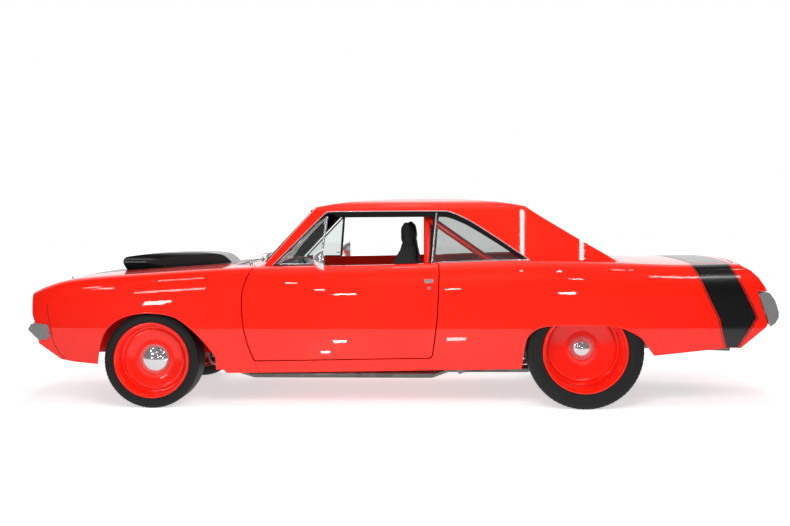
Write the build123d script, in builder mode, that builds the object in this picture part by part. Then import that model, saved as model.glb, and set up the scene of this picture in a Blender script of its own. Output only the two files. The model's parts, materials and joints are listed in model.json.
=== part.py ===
from build123d import *
from math import cos, radians, sin
import os

# Two-door hardtop coupe. X runs from nose (-) to tail (+), Y to the right, Z up, in millimetres.
# The origin is on the ground, midway between the bumper tips.

# ---- driving dimensions ---------------------------------------------------------------------
# whole car
wheelbase = 2819.0
front_overhang = 895.0
rear_overhang = 1268.0
body_width = 1768.0

# sheet metal
panel = 10.0            # fender, hood, lid and quarter skins
roof_wall = 36.0        # roof and pillars
floor_sheet = 12.0
glass = 6.0
glass_set_in = 7.0      # glass behind the outer face of its frame
gap = 8.0               # shut line round a door, the hood or the lid
seat = 0.3              # clearance between pieces that seat on each other

# body section
crease_z = 528.0        # crease along the side
side_tuck = 95.0        # how far the side turns in from the crease to its lower edge
side_drop = 350.0       # crease to the lower edge
shoulder_drop = 80.0    # top edge down to the shoulder
shoulder_in = 13.0      # shoulder inboard of the side
top_edge_in = 86.0      # top edge inboard of the side
top_crown = 16.0        # top of hood and deck above the top edges
ledge = 150.0           # width of the fender top, the door and the quarter top

# plan taper, a parabola towards each end
front_taper = 2.3e-5
front_taper_from = 1020.0   # behind the front axle
rear_taper = 2.4e-5
rear_taper_from = -500.0    # ahead of the rear axle

# wheels
front_tyre_radius = 315.0
front_tyre_width = 222.0
front_rim_radius = 248.5
rear_tyre_radius = 376.0
rear_tyre_width = 288.0
rear_rim_radius = 274.0
front_face_y = 840.0        # outer faces of the tyres
rear_face_y = 845.0
kingpin_y = 680.0
front_dish = 88.0           # wheel disc behind the outer face
rear_dish = 205.0

# hinges of doors, hood and lid
hinge_ahead = 100.0     # pin beyond the edge of the panel it carries
hinge_in = 19.5         # pin below the outer skin
hinge_pin = 4.0         # radius
hinge_eye = 7.5         # outer radius of the eye
hinge_leaf = 34.0       # height of the arm
hinge_arm = 9.0         # thickness of the arm

front_axle = front_overhang - (front_overhang + wheelbase + rear_overhang) / 2
rear_axle = front_axle + wheelbase
half_body = body_width / 2


def ahead(x, z):
    """A point given from the front axle."""
    return (front_axle + x, z)


def behind(x, z):
    """A point given from the rear axle."""
    return (rear_axle + x, z)


# ---- outlines in side view ------------------------------------------------------------------
# top edge of the body side
top_line = [
    ahead(-930, 690), ahead(-808, 757), ahead(-640, 822), ahead(-430, 855), ahead(-60, 882),
    ahead(560, 919), ahead(1300, 931), behind(-931, 945), behind(-351, 960), behind(222, 945),
    behind(728, 930), behind(1230, 912),
]
lower_edge = [
    ahead(-803, 741), ahead(-794, 615), ahead(-778, 561), ahead(-758, 422), ahead(-616, 316),
    ahead(-527, 299), ahead(-370, 284), ahead(492, 230), behind(-430, 262), behind(440, 350),
    behind(913, 401), behind(984, 398),
]
# tail at the corner of the body, with the notch that takes the bumper
tail_edge = [
    behind(984, 398), behind(1143, 535), behind(1150, 560), behind(1105, 689), behind(1087, 764),
    behind(1145, 762), behind(1128, 795), behind(1092, 848), behind(1045, 893), behind(985, 925),
]
tail_bow = 50.0                     # tail behind its corners, on the centre line
door_front = front_axle + 611       # forward-most point of the door's front edge
door_rear = rear_axle - 933         # top of the door's rear edge
hood_front = front_axle - 770
hood_rear = front_axle + 485
lid_front = rear_axle + 232
lid_rear = rear_axle + 955          # at the corners
lid_bow = 60.0
firewall_x = front_axle + 560
floor_z = 250.0
over_axle_z = 575.0
trunk_floor_z = 505.0
tunnel_half = 135.0
tunnel_z = 440.0


def half_width(x):
    forward = max(0.0, front_axle + front_taper_from - x)
    back = max(0.0, x - rear_axle - rear_taper_from)
    return half_body - front_taper * forward**2 - rear_taper * back**2


def top_z(x):
    """Height of the top edge at x, between the stations."""
    for (x0, z0), (x1, z1) in zip(top_line, top_line[1:]):
        if x <= x1:
            return z0 + (z1 - z0) * (x - x0) / (x1 - x0)
    return top_line[-1][1]


# ---- helpers --------------------------------------------------------------------------------
def across(outline, near, far):
    """A side outline of (x, z) points extruded across the car from y = near to y = far."""
    with BuildPart() as block:
        with BuildSketch(Plane.XZ.offset(-near)):
            with BuildLine():
                Polyline(*outline, close=True)
            make_face()
        extrude(amount=near - far)
    return block.part


def upward(outline, low, high):
    """A plan outline of (x, y) points extruded from z = low to z = high."""
    with BuildPart() as block:
        with BuildSketch(Plane.XY.offset(low)):
            with BuildLine():
                Polyline(*outline, close=True)
            make_face()
        extrude(amount=high - low)
    return block.part


def along(outline, start, end):
    """A cross-section of (y, z) points extruded along the car from x = start to x = end."""
    with BuildPart() as block:
        with BuildSketch(Plane.YZ.offset(start)):
            with BuildLine():
                Polyline(*outline, close=True)
            make_face()
        extrude(amount=end - start)
    return block.part


def box(x0, x1, y0, y1, z0, z1):
    return upward([(x0, y0), (x1, y0), (x1, y1), (x0, y1)], z0, z1)


def bowed(outline, half, bow):
    """A side outline carried across the car, moved back by bow on the centre line."""
    with BuildPart() as block:
        for y, shift in ((-half, 0), (0, bow), (half, 0)):
            with BuildSketch(Plane.XZ.offset(-y)):
                with BuildLine():
                    Polyline(*[(x + shift, z) for x, z in outline], close=True)
                make_face()
        loft()
    return block.part


def ribbon(points, thickness):
    """Outline of a sheet that follows the points, with its thickness below them."""
    return points + [(x, z - thickness) for x, z in reversed(points)]


def mirrored(piece):
    with BuildPart() as other:
        mirror(piece.part, about=Plane.XZ)
    return other


def kept(piece, name):
    piece.part.label = name
    export_step(piece.part, f"parts/{name}.step")


# ---- body block -----------------------------------------------------------------------------
def body_block(inset):
    """The lower body as one block through its stations, drawn in by inset all round."""
    with BuildPart() as block:
        for x, top in top_line:
            side = half_width(x) - inset
            edge = side - top_edge_in
            high = top - inset
            shoulder = high - shoulder_drop
            with BuildSketch(Plane.YZ.offset(x)):
                with BuildLine():
                    for s in (1, -1):
                        Spline(
                            (s * side, crease_z),
                            (s * (side + 2), (crease_z + shoulder) / 2),
                            (s * (side - shoulder_in), shoulder),
                            (s * edge, high),
                            tangents=((0, 1), (-s, 0.1)),
                        )
                        ThreePointArc(
                            (s * side, crease_z),
                            (s * (side - 0.36 * side_tuck), crease_z - 0.54 * side_drop),
                            (s * (side - side_tuck), crease_z - side_drop),
                        )
                    ThreePointArc((edge, high), (0, high + top_crown), (-edge, high))
                    Line(
                        (side - side_tuck, crease_z - side_drop),
                        (side_tuck - side, crease_z - side_drop),
                    )
                make_face()
        loft()
    return block.part


outer_body = body_block(0)
inner_body = body_block(panel)
reach = half_body + 50      # beyond the widest point
lower_side = across([ahead(-806, 1100), ahead(-806, 750)] + lower_edge
                    + [behind(1225, 398), behind(1225, 1100)], -reach, reach)
tail_half = half_width(rear_axle + 900)      # just past the body side wherever the tail edge runs
beyond_tail = bowed(tail_edge + [behind(985, 1150), behind(1400, 1150), behind(1400, 300), behind(984, 300)],
                    tail_half, tail_bow)

with BuildPart() as left_skin:
    add(outer_body)
    add(inner_body, mode=Mode.SUBTRACT)
    add(lower_side, mode=Mode.INTERSECT)
    add(beyond_tail, mode=Mode.SUBTRACT)
    split(bisect_by=Plane.XZ, keep=Keep.TOP)

with BuildPart() as left_block:
    add(outer_body)
    add(lower_side, mode=Mode.INTERSECT)
    split(bisect_by=Plane.XZ, keep=Keep.TOP)


# ---- openings in the body side --------------------------------------------------------------
def door_zone(margin):
    """The space of the left door, its edges drawn in towards the cabin so that it swings out."""
    depth = ledge + 60
    with BuildPart() as zone:
        for y, extra in ((-half_body - 40, margin + 5), (-half_body + depth, margin - 25)):
            front = [(95, 1000), (39, 877), (8, 782), (0, 690), (6, 568), (24, 459), (70, 313 - extra)]
            rear = [(-64, 335 - extra), (-48, 355), (-20, 600), (0, 1000)]
            front = [(door_front + x - extra, z) for x, z in front]
            rear = [(door_rear + x + extra, z) for x, z in rear]
            with BuildSketch(Plane.XZ.offset(-y)):
                with BuildLine():
                    Spline(*front)
                    Polyline(front[-1], *rear, front[0])
                make_face()
        loft(ruled=True)
        add(box(front_axle, rear_axle, -reach, -half_body + ledge, 0, 1100), mode=Mode.INTERSECT)
    return zone.part


def arch(points, near, far):
    """A wheel arch: a spline over its points, closed below the body."""
    with BuildPart() as space:
        with BuildSketch(Plane.XZ.offset(-near)):
            with BuildLine():
                Spline(*points)
                Polyline(points[-1], (points[-1][0] + 10, 0), (points[0][0] - 10, 0), points[0])
            make_face()
        extrude(amount=near - far)
    return space.part


front_arch = arch([ahead(-376, 262), ahead(-358, 341), ahead(-304, 499), ahead(-224, 576), ahead(-112, 617),
                   ahead(21, 625), ahead(164, 599), ahead(283, 513), ahead(397, 381), ahead(446, 302),
                   ahead(494, 222)], -reach, -300)
rear_arch = arch([behind(-412, 250), behind(-397, 372), behind(-372, 470), behind(-314, 524), behind(-232, 544),
                  behind(-80, 547), behind(61, 547), behind(213, 535), behind(272, 510), behind(344, 468),
                  behind(393, 407), behind(450, 335)], -reach, -300)

hood_half = half_body - ledge               # half width of the hood at its rear edge
hood_nose = half_width(hood_front) - ledge  # and at its front edge


def hood_zone(margin):
    with BuildPart() as zone:
        with BuildSketch(Plane.XY.offset(600)):
            with BuildLine():
                Line((hood_front - margin, -hood_nose - margin), (hood_rear + margin - 25, -hood_half - margin))
                ThreePointArc((hood_rear + margin - 25, -hood_half - margin), (hood_rear + margin, 0),
                              (hood_rear + margin - 25, hood_half + margin))
                Line((hood_rear + margin - 25, hood_half + margin), (hood_front - margin, hood_nose + margin))
                Line((hood_front - margin, hood_nose + margin), (hood_front - margin, -hood_nose - margin))
            make_face()
        extrude(amount=600)
    return zone.part


lid_half_front = half_width(lid_front) - ledge - 10
lid_half_rear = half_width(lid_rear) - ledge


def lid_zone(margin):
    with BuildPart() as zone:
        with BuildSketch(Plane.XY.offset(700)):
            with BuildLine():
                Polyline((lid_rear + margin, -lid_half_rear - margin), (lid_front - margin, -lid_half_front - margin),
                         (lid_front - margin, lid_half_front + margin), (lid_rear + margin, lid_half_rear + margin))
                ThreePointArc((lid_rear + margin, lid_half_rear + margin), (lid_rear + lid_bow + margin, 0),
                              (lid_rear + margin, -lid_half_rear - margin))
            make_face()
        extrude(amount=500)
    return zone.part


# ---- greenhouse -----------------------------------------------------------------------------
screen_bow = 128.0      # windshield base ahead of its ends, on the centre line
header_bow = 97.0
backlight_bow = 110.0   # rear window ahead of the sail panels, on the centre line
roof_crown = 20.0
cabin_half = 750.0      # beyond the greenhouse at its base
belt_half = half_body - ledge - gap - 2     # outer face of the greenhouse at the belt
rail_half = 590.0       # and at the roof rail
belt_z = 935.0
rail_z = 1288.0


def greenhouse(inset):
    """The cabin above the belt as one block, drawn in by inset all round."""
    lean = inset * 1.38
    lag = inset * 1.8
    with BuildPart() as block:
        for y in (-cabin_half, 0, cabin_half):
            bow = 1 if y == 0 else 0
            drop = inset + roof_crown * (1 - bow)
            with BuildSketch(Plane.XZ.offset(-y)):
                base = ahead(691 - screen_bow * bow + lean, 880)
                header = ahead(1101 - header_bow * bow + lean, 1322 - drop)
                crest = behind(-378 + 20 * bow - lag / 2, 1324 - drop)
                foot = behind(285 - backlight_bow * bow - lag, 880)
                with BuildLine():
                    Line(base, header)
                    Spline(header, ahead(1299, 1356 - drop), behind(-1141, 1370 - drop),
                           behind(-755, 1366 - drop), behind(-538, 1350 - drop), crest)
                    Spline(crest, behind(-127 - 0.64 * backlight_bow * bow - lag, 1170),
                           behind(43 - 0.86 * backlight_bow * bow - lag, 1066),
                           behind(174 - backlight_bow * bow - lag, 985), foot)
                    Line(foot, base)
                make_face()
        loft()
        belt = belt_half - inset
        rail = rail_half - inset
        low = belt + (belt - rail) * (belt_z - 880) / (rail_z - belt_z)
        with BuildSketch(Plane.YZ.offset(front_axle)) as section:
            with BuildLine():
                for s in (1, -1):
                    Line((s * low, 880), (s * rail, rail_z - inset))
                    ThreePointArc((s * rail, rail_z - inset), (s * (rail - 22), rail_z + 32 - inset),
                                  (s * (rail - 75), rail_z + 58 - inset))
                ThreePointArc((rail - 75, rail_z + 58 - inset), (0, rail_z + 90 - inset),
                              (75 - rail, rail_z + 58 - inset))
                Line((low, 880), (-low, 880))
            make_face()
        extrude(amount=wheelbase + 500, mode=Mode.INTERSECT)
    return block.part


def side_glass_zone(margin):
    """The side window opening from the pillar to the sail panel."""
    return [ahead(724 - margin, 860), ahead(1118 - margin, 1270 + margin), ahead(1151, 1275 + margin),
            ahead(1483, 1279 + margin), behind(-1060, 1281 + margin), behind(-917, 1281 + margin),
            behind(-851, 1266 + margin), behind(-786, 1240 + margin), behind(-699 + margin, 1190 + margin),
            behind(-604 + margin, 1133 + margin), behind(-420 + margin, 1013 + margin),
            behind(-344 + margin, 955), behind(-344 + margin, 860)]


def slope_half(z, inset):
    """Half width of the greenhouse at height z, less inset."""
    return belt_half - (belt_half - rail_half) * (z - belt_z) / (rail_z - belt_z) - inset


def screen_zone(inset, low, high, start, end):
    outline = [(slope_half(low, inset), low), (slope_half(high, inset), high)]
    return along(outline + [(-y, z) for y, z in reversed(outline)], start, end)


pillar_width = 48.0
sail_width = 120.0
roof_block = greenhouse(0)
seat_block = body_block(-seat)

with BuildPart() as roof:
    add(roof_block)
    add(greenhouse(roof_wall), mode=Mode.SUBTRACT)
    add(seat_block, mode=Mode.SUBTRACT)
    add(across(side_glass_zone(0), -reach, reach), mode=Mode.SUBTRACT)
    add(screen_zone(pillar_width, 860, 1290, front_axle, front_axle + 1180), mode=Mode.SUBTRACT)
    add(screen_zone(sail_width, 860, 1262, rear_axle - 420, rear_axle + 500), mode=Mode.SUBTRACT)

with BuildPart() as pane:
    add(greenhouse(glass_set_in))
    add(greenhouse(glass_set_in + glass), mode=Mode.SUBTRACT)
    add(seat_block, mode=Mode.SUBTRACT)

quarter_glass_front = [(door_rear - 66, 930), (door_rear - 28, 1300), (rear_axle, 1300), (rear_axle, 860),
                       (door_rear - 66, 860)]
with BuildPart() as windows:
    add(pane.part)
    add(screen_zone(pillar_width + seat, 860, 1290 - seat, front_axle, front_axle + 1180), mode=Mode.INTERSECT)
with BuildPart() as rear_window:
    add(pane.part)
    add(screen_zone(sail_width + seat, 860, 1262 - seat, rear_axle - 420, rear_axle + 500), mode=Mode.INTERSECT)
with BuildPart() as quarter_windows:
    add(pane.part)
    add(across(side_glass_zone(-seat), -reach, reach), mode=Mode.INTERSECT)
    add(across(quarter_glass_front, -reach, reach), mode=Mode.INTERSECT)

# ---- hinges ---------------------------------------------------------------------------------
def hinge_outline(thin):
    """Goose-neck from the pin at the origin, along +x to its panel, with +y into the body."""
    if thin:
        return [(0, 0), (4, 50), (30, 88), (hinge_ahead + 18, 90), (hinge_ahead + 40, 10 - hinge_in)]
    return [(0, 0), (4, 50), (32, 103), (hinge_ahead + 65, 113)]


def hinge(plane, y_sign, thin):
    """One goose-neck with its eye, on a plane whose x runs to the panel and whose z is the pin."""
    with BuildPart() as arm:
        with BuildSketch(plane):
            with BuildLine():
                FilletPolyline(*[(x, y_sign * y) for x, y in hinge_outline(thin)], radius=14)
            trace(line_width=hinge_arm)
            Circle(hinge_eye)
            Circle(hinge_pin + seat, mode=Mode.SUBTRACT)
        extrude(amount=hinge_leaf / 2, both=True)
    return arm.part


# ---- outer panels ---------------------------------------------------------------------------
cabin_top = box(hood_rear - 40, lid_front, -belt_half, belt_half, 700, 1200)
seat_inner = body_block(panel + seat)
nose_half = hood_nose + gap - seat      # half width of the header ahead of the hood

with BuildPart() as fender_left:
    add(left_skin.part)
    add(across([ahead(-900, 0), ahead(799, 0), ahead(676, 310), ahead(676, 1100), ahead(-900, 1100)],
               -reach, 0), mode=Mode.INTERSECT)
    add(hood_zone(gap), mode=Mode.SUBTRACT)
    add(door_zone(gap), mode=Mode.SUBTRACT)
    add(front_arch, mode=Mode.SUBTRACT)
    add(box(hood_rear - 60, rear_axle, -hood_half - seat, reach, 0, 1200), mode=Mode.SUBTRACT)
    add(box(hood_front - 100, hood_front, -nose_half - seat, reach, 0, 1200), mode=Mode.SUBTRACT)

with BuildPart() as quarter_left:
    add(left_skin.part)
    add(across([ahead(799 + seat, 0), ahead(676 + seat, 310), ahead(676 + seat, 340), (door_rear - 100, 340),
                (door_rear - 100, 1100), behind(1300, 1100), behind(1300, 0)], -reach, 0), mode=Mode.INTERSECT)
    add(cabin_top, mode=Mode.SUBTRACT)
    add(lid_zone(gap), mode=Mode.SUBTRACT)
    add(box(lid_rear, rear_axle + 1400, -lid_half_rear - gap, reach, 700, 1200), mode=Mode.SUBTRACT)
    add(box(lid_front - 200, lid_front + 20, -lid_half_front, reach, 0, 1200), mode=Mode.SUBTRACT)

with BuildPart() as sill_and_post:
    add(left_block.part)
    add(across([ahead(722, 200), ahead(678, 311), ahead(678, 420), (door_rear - 90, 420),
                (door_rear - 90, 1100), (door_rear + 60, 1100), (door_rear + 60, 420), behind(-432, 420),
                behind(-432, 200)], -reach, -half_body + ledge + 30), mode=Mode.INTERSECT)
    add(box(front_axle, rear_axle, -belt_half, 0, 700, 1200), mode=Mode.SUBTRACT)

with BuildPart() as body_side_left:
    add(quarter_left.part)
    add(sill_and_post.part)
    add(door_zone(gap), mode=Mode.SUBTRACT)
    add(rear_arch, mode=Mode.SUBTRACT)

# door with its two goose-neck hinges
pin_x = door_front - hinge_ahead
pin_y = half_width(pin_x) - hinge_in
hinge_heights = (545, 695)
with BuildPart() as door_left:
    add(left_block.part)
    add(door_zone(0), mode=Mode.INTERSECT)
    for z in hinge_heights:
        add(hinge(Plane.XY.offset(z).move(Location((pin_x, -pin_y, 0))), 1, False))

# hood and trunk lid with theirs
hood_pin_x = hood_rear + hinge_ahead
hinge_y = 480.0
rise = top_crown * (1 - (hinge_y / (half_body - top_edge_in)) ** 2)
hood_pin_z = top_z(hood_pin_x) + rise - hinge_in
with BuildPart() as hood:
    add(outer_body)
    add(inner_body, mode=Mode.SUBTRACT)
    add(hood_zone(0), mode=Mode.INTERSECT)
    for y in (-hinge_y, hinge_y):
        frame = Plane(origin=(hood_pin_x, y, hood_pin_z), x_dir=(-1, 0, 0), z_dir=(0, 1, 0))
        add(hinge(frame, -1, True))
lid_pin_x = lid_front - hinge_ahead
lid_pin_z = top_z(lid_pin_x) + rise - hinge_in
with BuildPart() as trunk_lid:
    add(outer_body)
    add(inner_body, mode=Mode.SUBTRACT)
    add(lid_zone(0), mode=Mode.INTERSECT)
    for y in (-hinge_y, hinge_y):
        frame = Plane(origin=(lid_pin_x, y, lid_pin_z), x_dir=(1, 0, 0), z_dir=(0, 1, 0))
        add(hinge(frame, 1, True))


def rod(start, end, radius):
    """A round bar between two points."""
    a, b = Vector(*start), Vector(*end)
    with BuildPart() as bar:
        with BuildSketch(Plane(origin=a, z_dir=(b - a).normalized())):
            Circle(radius)
        extrude(amount=(b - a).length)
    return bar.part


def tube(points, radius, bend):
    """A round tube along straight runs joined by bends of one radius."""
    with BuildPart() as pipe:
        with BuildLine() as path:
            FilletPolyline(*points, radius=bend)
        with BuildSketch(Plane(origin=path.line @ 0, z_dir=path.line % 0)):
            Circle(radius)
        sweep()
    return pipe.part


# ---- hood scoop -----------------------------------------------------------------------------
scoop_half = 213.0
scoop_crown = [ahead(-329, 855), ahead(-353, 902), ahead(-362, 938), ahead(-354, 959), ahead(-316, 973),
               ahead(-149, 990), ahead(88, 998), ahead(301, 989), ahead(348, 977), ahead(397, 938), ahead(433, 905)]
with BuildPart() as hood_scoop:
    with BuildSketch(Plane.XZ.offset(scoop_half)):
        with BuildLine():
            Spline(*scoop_crown)
            Polyline(scoop_crown[-1], ahead(433, 820), ahead(-270, 820), scoop_crown[0])
        make_face()
    extrude(amount=-2 * scoop_half)
    with BuildSketch(Plane.YZ.offset(front_axle - 400)):
        with BuildLine():
            for s in (1, -1):
                Polyline((s * 168, 820), (s * 203, 900), (s * scoop_half, 930))
                ThreePointArc((s * scoop_half, 930), (s * (scoop_half - 14), 968), (s * (scoop_half - 62), 1000))
            Line((168, 820), (-168, 820))
            Line((scoop_half - 62, 1000), (62 - scoop_half, 1000))
        make_face()
    extrude(amount=850, mode=Mode.INTERSECT)
    add(upward([ahead(-400, -scoop_half), ahead(-200, -scoop_half), ahead(440, -scoop_half + 50),
                ahead(440, scoop_half - 50), ahead(-200, scoop_half), ahead(-400, scoop_half)], 700, 1100),
        mode=Mode.INTERSECT)
    add(box(front_axle - 380, front_axle + 60, -scoop_half + 36, scoop_half - 36, 905, 955), mode=Mode.SUBTRACT)
    add(seat_block, mode=Mode.SUBTRACT)

# ---- firewall, cowl and hinge posts ---------------------------------------------------------
cowl_rear = front_axle + 790
plenum_x = hood_pin_x + 55
ear = 8.0
with BuildPart() as firewall:
    add(across([(firewall_x, floor_z - floor_sheet), (firewall_x, 790), (plenum_x, 790), (plenum_x, 960),
                (plenum_x + 10, 960), (plenum_x + 10, 780), (firewall_x + 10, 780),
                (firewall_x + 10, floor_z - floor_sheet)], -700, 700))
    for s in (-1, 1):
        y0, y1 = sorted((s * 640, s * 900))
        add(box(pin_x - 90, pin_x - 14, y0, y1, floor_z, 960))
        y0, y1 = sorted((s * 620, s * 700))
        add(box(pin_x - 90, firewall_x + 10, y0, y1, floor_z, 960))
    add(seat_inner, mode=Mode.INTERSECT)
    add(box(firewall_x - 30, firewall_x + 30, -tunnel_half, tunnel_half, 0, tunnel_z), mode=Mode.SUBTRACT)
    for s in (-1, 1):
        for z in hinge_heights:
            for step in (-hinge_leaf / 2 - ear - 0.5, hinge_leaf / 2 + 0.5):
                y0, y1 = sorted((s * (pin_y - 7), s * (pin_y + 7)))
                add(box(pin_x - 30, pin_x + hinge_eye, y0, y1, z + step, z + step + ear))
            add(rod((pin_x, s * pin_y, z - hinge_leaf / 2 - 4), (pin_x, s * pin_y, z + hinge_leaf / 2 + 4), hinge_pin))
        for step in (-hinge_leaf / 2 - ear - 0.5, hinge_leaf / 2 + 0.5):
            y = s * hinge_y + step
            add(box(hood_pin_x - hinge_eye, plenum_x + 5, y, y + ear, hood_pin_z - 8, hood_pin_z + 8))
        add(rod((hood_pin_x, s * hinge_y - hinge_leaf / 2 - 4, hood_pin_z),
                (hood_pin_x, s * hinge_y + hinge_leaf / 2 + 4, hood_pin_z), hinge_pin))

with BuildPart() as cowl:
    add(outer_body)
    add(inner_body, mode=Mode.SUBTRACT)
    add(box(hood_rear - 60, door_front + 20, -hood_half, hood_half, 700, 1200)
        + box(hood_rear - 60, cowl_rear, -belt_half, belt_half, 700, 1200), mode=Mode.INTERSECT)
    add(hood_zone(gap), mode=Mode.SUBTRACT)
    add(door_zone(gap), mode=Mode.SUBTRACT)
    add(mirror(door_zone(gap), about=Plane.XZ, mode=Mode.PRIVATE), mode=Mode.SUBTRACT)

# ---- floor ----------------------------------------------------------------------------------
floor_line = [(firewall_x + 10 + seat, 420), (firewall_x + 110, floor_z), behind(-640, floor_z),
              behind(-560, 420), behind(-330, over_axle_z), behind(330, over_axle_z),
              behind(420, trunk_floor_z), behind(1077, trunk_floor_z)]
tub_wall = rear_face_y - rear_tyre_width - 16
tub_radius = rear_tyre_radius + 40
spring_y = 470.0
spring_eye = behind(-800, 200)
with BuildPart() as floor:
    add(across(ribbon(floor_line, floor_sheet), -tub_wall + 8, tub_wall - 8))
    add(across(ribbon(floor_line[:3], floor_sheet), -703, 703))
    add(along([(-tunnel_half, floor_z - 5), (-tunnel_half + 35, tunnel_z), (tunnel_half - 35, tunnel_z),
               (tunnel_half, floor_z - 5)], firewall_x + 10 + seat, rear_axle - 515))
    add(along([(-tunnel_half + 12, 0), (-tunnel_half + 12, floor_z - 5), (-tunnel_half + 46, tunnel_z - 12),
               (tunnel_half - 46, tunnel_z - 12), (tunnel_half - 12, floor_z - 5), (tunnel_half - 12, 0)],
              firewall_x, rear_axle - 400), mode=Mode.SUBTRACT)
    for s in (-1, 1):
        with BuildSketch(Plane.XZ.offset(-s * (tub_wall - 8))):
            with Locations((rear_axle, rear_tyre_radius)):
                Circle(tub_radius + 8)
        extrude(amount=-s * (rear_face_y - tub_wall + 60))
        with BuildSketch(Plane.XZ.offset(-s * tub_wall)):
            with Locations((rear_axle, rear_tyre_radius)):
                Circle(tub_radius)
        extrude(amount=-s * (rear_face_y - tub_wall + 60), mode=Mode.SUBTRACT)
        y0, y1 = sorted((s * (spring_y - 32), s * (spring_y + 32)))
        add(box(spring_eye[0] - 20, spring_eye[0] + 20, y0, y1, spring_eye[1] + 18 + seat, floor_z - 2))
    add(box(rear_axle - 700, rear_axle + 700, -reach, reach, 0, 240), mode=Mode.SUBTRACT)
    for s in (-1, 1):
        with BuildSketch(Plane.XZ.offset(-s * tub_wall)):
            with Locations((rear_axle, rear_tyre_radius)):
                Circle(tub_radius)
                with Locations((0, -tub_radius)):
                    Rectangle(2 * tub_radius, 2 * tub_radius)
        extrude(amount=-s * 400, mode=Mode.SUBTRACT)
        y0, y1 = sorted((s * (tub_wall - 20), s * reach))
        add(box(rear_axle - 460, rear_axle + 460, y0, y1, 0, 440), mode=Mode.SUBTRACT)
    add(seat_inner, mode=Mode.INTERSECT)

floor_break = rear_axle - 640
with BuildPart() as floor_pan:
    add(floor.part)
    add(box(front_axle, floor_break, -reach, reach, 0, 900), mode=Mode.INTERSECT)
with BuildPart() as rear_floor:
    add(floor.part)
    add(box(floor_break + seat, rear_axle + 1300, -tub_wall + 8 + seat, tub_wall - 8 - seat, 0, 1000),
        mode=Mode.INTERSECT)
with BuildPart() as wheel_tubs:
    add(floor.part)
    add(box(floor_break + seat, rear_axle + 1300, -tub_wall + 8, tub_wall - 8, 0, 1000), mode=Mode.SUBTRACT)
    add(box(front_axle, floor_break + seat, -reach, reach, 0, 1000), mode=Mode.SUBTRACT)

# ---- front structure ------------------------------------------------------------------------
rail_y = 410.0
rail_half_width = 30.0
rail_low, rail_high = 320.0, 410.0
apron_y = rail_y + rail_half_width
support_x = front_axle - 600
radiator_half, radiator_low, radiator_high = 300.0, 390.0, 760.0
arm_pivot_y = 405.0
lower_arm_z, upper_arm_z = 185.0, 432.0
arm_sheet = 24.0
with BuildPart() as front_structure:
    for s in (-1, 1):
        y0, y1 = sorted((s * (rail_y - rail_half_width), s * apron_y))
        add(box(support_x - 6, firewall_x - seat, y0, y1, rail_low, rail_high))
        y0, y1 = sorted((s * (apron_y - 8), s * apron_y))
        add(box(support_x, firewall_x - seat, y0, y1, rail_low, 960))
        y0, y1 = sorted((s * 340, s * (arm_pivot_y - seat)))
        add(box(front_axle - 70, front_axle + 70, y0, y1, lower_arm_z - 6, 330))
        y0, y1 = sorted((s * (apron_y - 20), s * (apron_y + 10)))
        add(box(front_axle - 50, front_axle + 50, y0, y1, 400, 470))
    add(box(front_axle - 70, front_axle + 70, -400, 400, 250, 300))
    add(seat_inner, mode=Mode.INTERSECT)
    add(hood_zone(12) & box(support_x - 900, firewall_x, -reach, reach, 600, 1200), mode=Mode.SUBTRACT)
    add(box(support_x - 30, support_x + seat, -reach, reach, 0, 1000), mode=Mode.SUBTRACT)

with BuildPart() as radiator_support:
    add(box(support_x - 12, support_x, -reach, reach, 345, 900))
    add(seat_inner, mode=Mode.INTERSECT)
    add(hood_zone(12) & box(support_x - 900, firewall_x, -reach, reach, 600, 1200), mode=Mode.SUBTRACT)
    add(box(support_x - 30, support_x + 10, -radiator_half, radiator_half, radiator_low, radiator_high),
        mode=Mode.SUBTRACT)

with BuildPart() as radiator:
    add(box(support_x - 24, support_x + 26, -radiator_half + seat, radiator_half - seat, radiator_low + seat,
            radiator_high - seat))
    add(box(support_x + 0.3, support_x + 30, -radiator_half - 25, radiator_half + 25, radiator_high - 40,
            radiator_high + 15))

# ---- engine, gearbox and driveline ----------------------------------------------------------
engine_front, engine_back = front_axle - 300, front_axle + 360
gearbox_z = 345.0
with BuildPart() as engine:
    add(box(engine_front, engine_back, -170, 170, 300 + seat, 520))
    add(along([(-170, 480), (-285, 640), (-285, 700), (-150, 730), (-150, 800), (150, 800), (150, 730),
               (285, 700), (285, 640), (170, 480)], engine_front + 20, engine_back - 20))
    add(rod((engine_back - 10, 0, gearbox_z + 20), (engine_back + 160, 0, gearbox_z + 20), 140))
    add(rod((engine_back + 100, 0, gearbox_z), (engine_back + 600, 0, gearbox_z), 82))
    add(box(engine_front - 10, engine_back + 10, -290, 290, 290, 300 + seat), mode=Mode.SUBTRACT)
shaft_start = engine_back + 600
pinion_x = rear_axle - 230
with BuildPart() as driveshaft:
    add(rod((shaft_start + seat, 0, gearbox_z), (shaft_start + 30, 0, gearbox_z), 45))
    add(rod((shaft_start + 20, 0, gearbox_z), (pinion_x - 20, 0, rear_tyre_radius), 38))
    add(rod((pinion_x - 30, 0, rear_tyre_radius), (pinion_x - seat, 0, rear_tyre_radius), 45))

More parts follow.
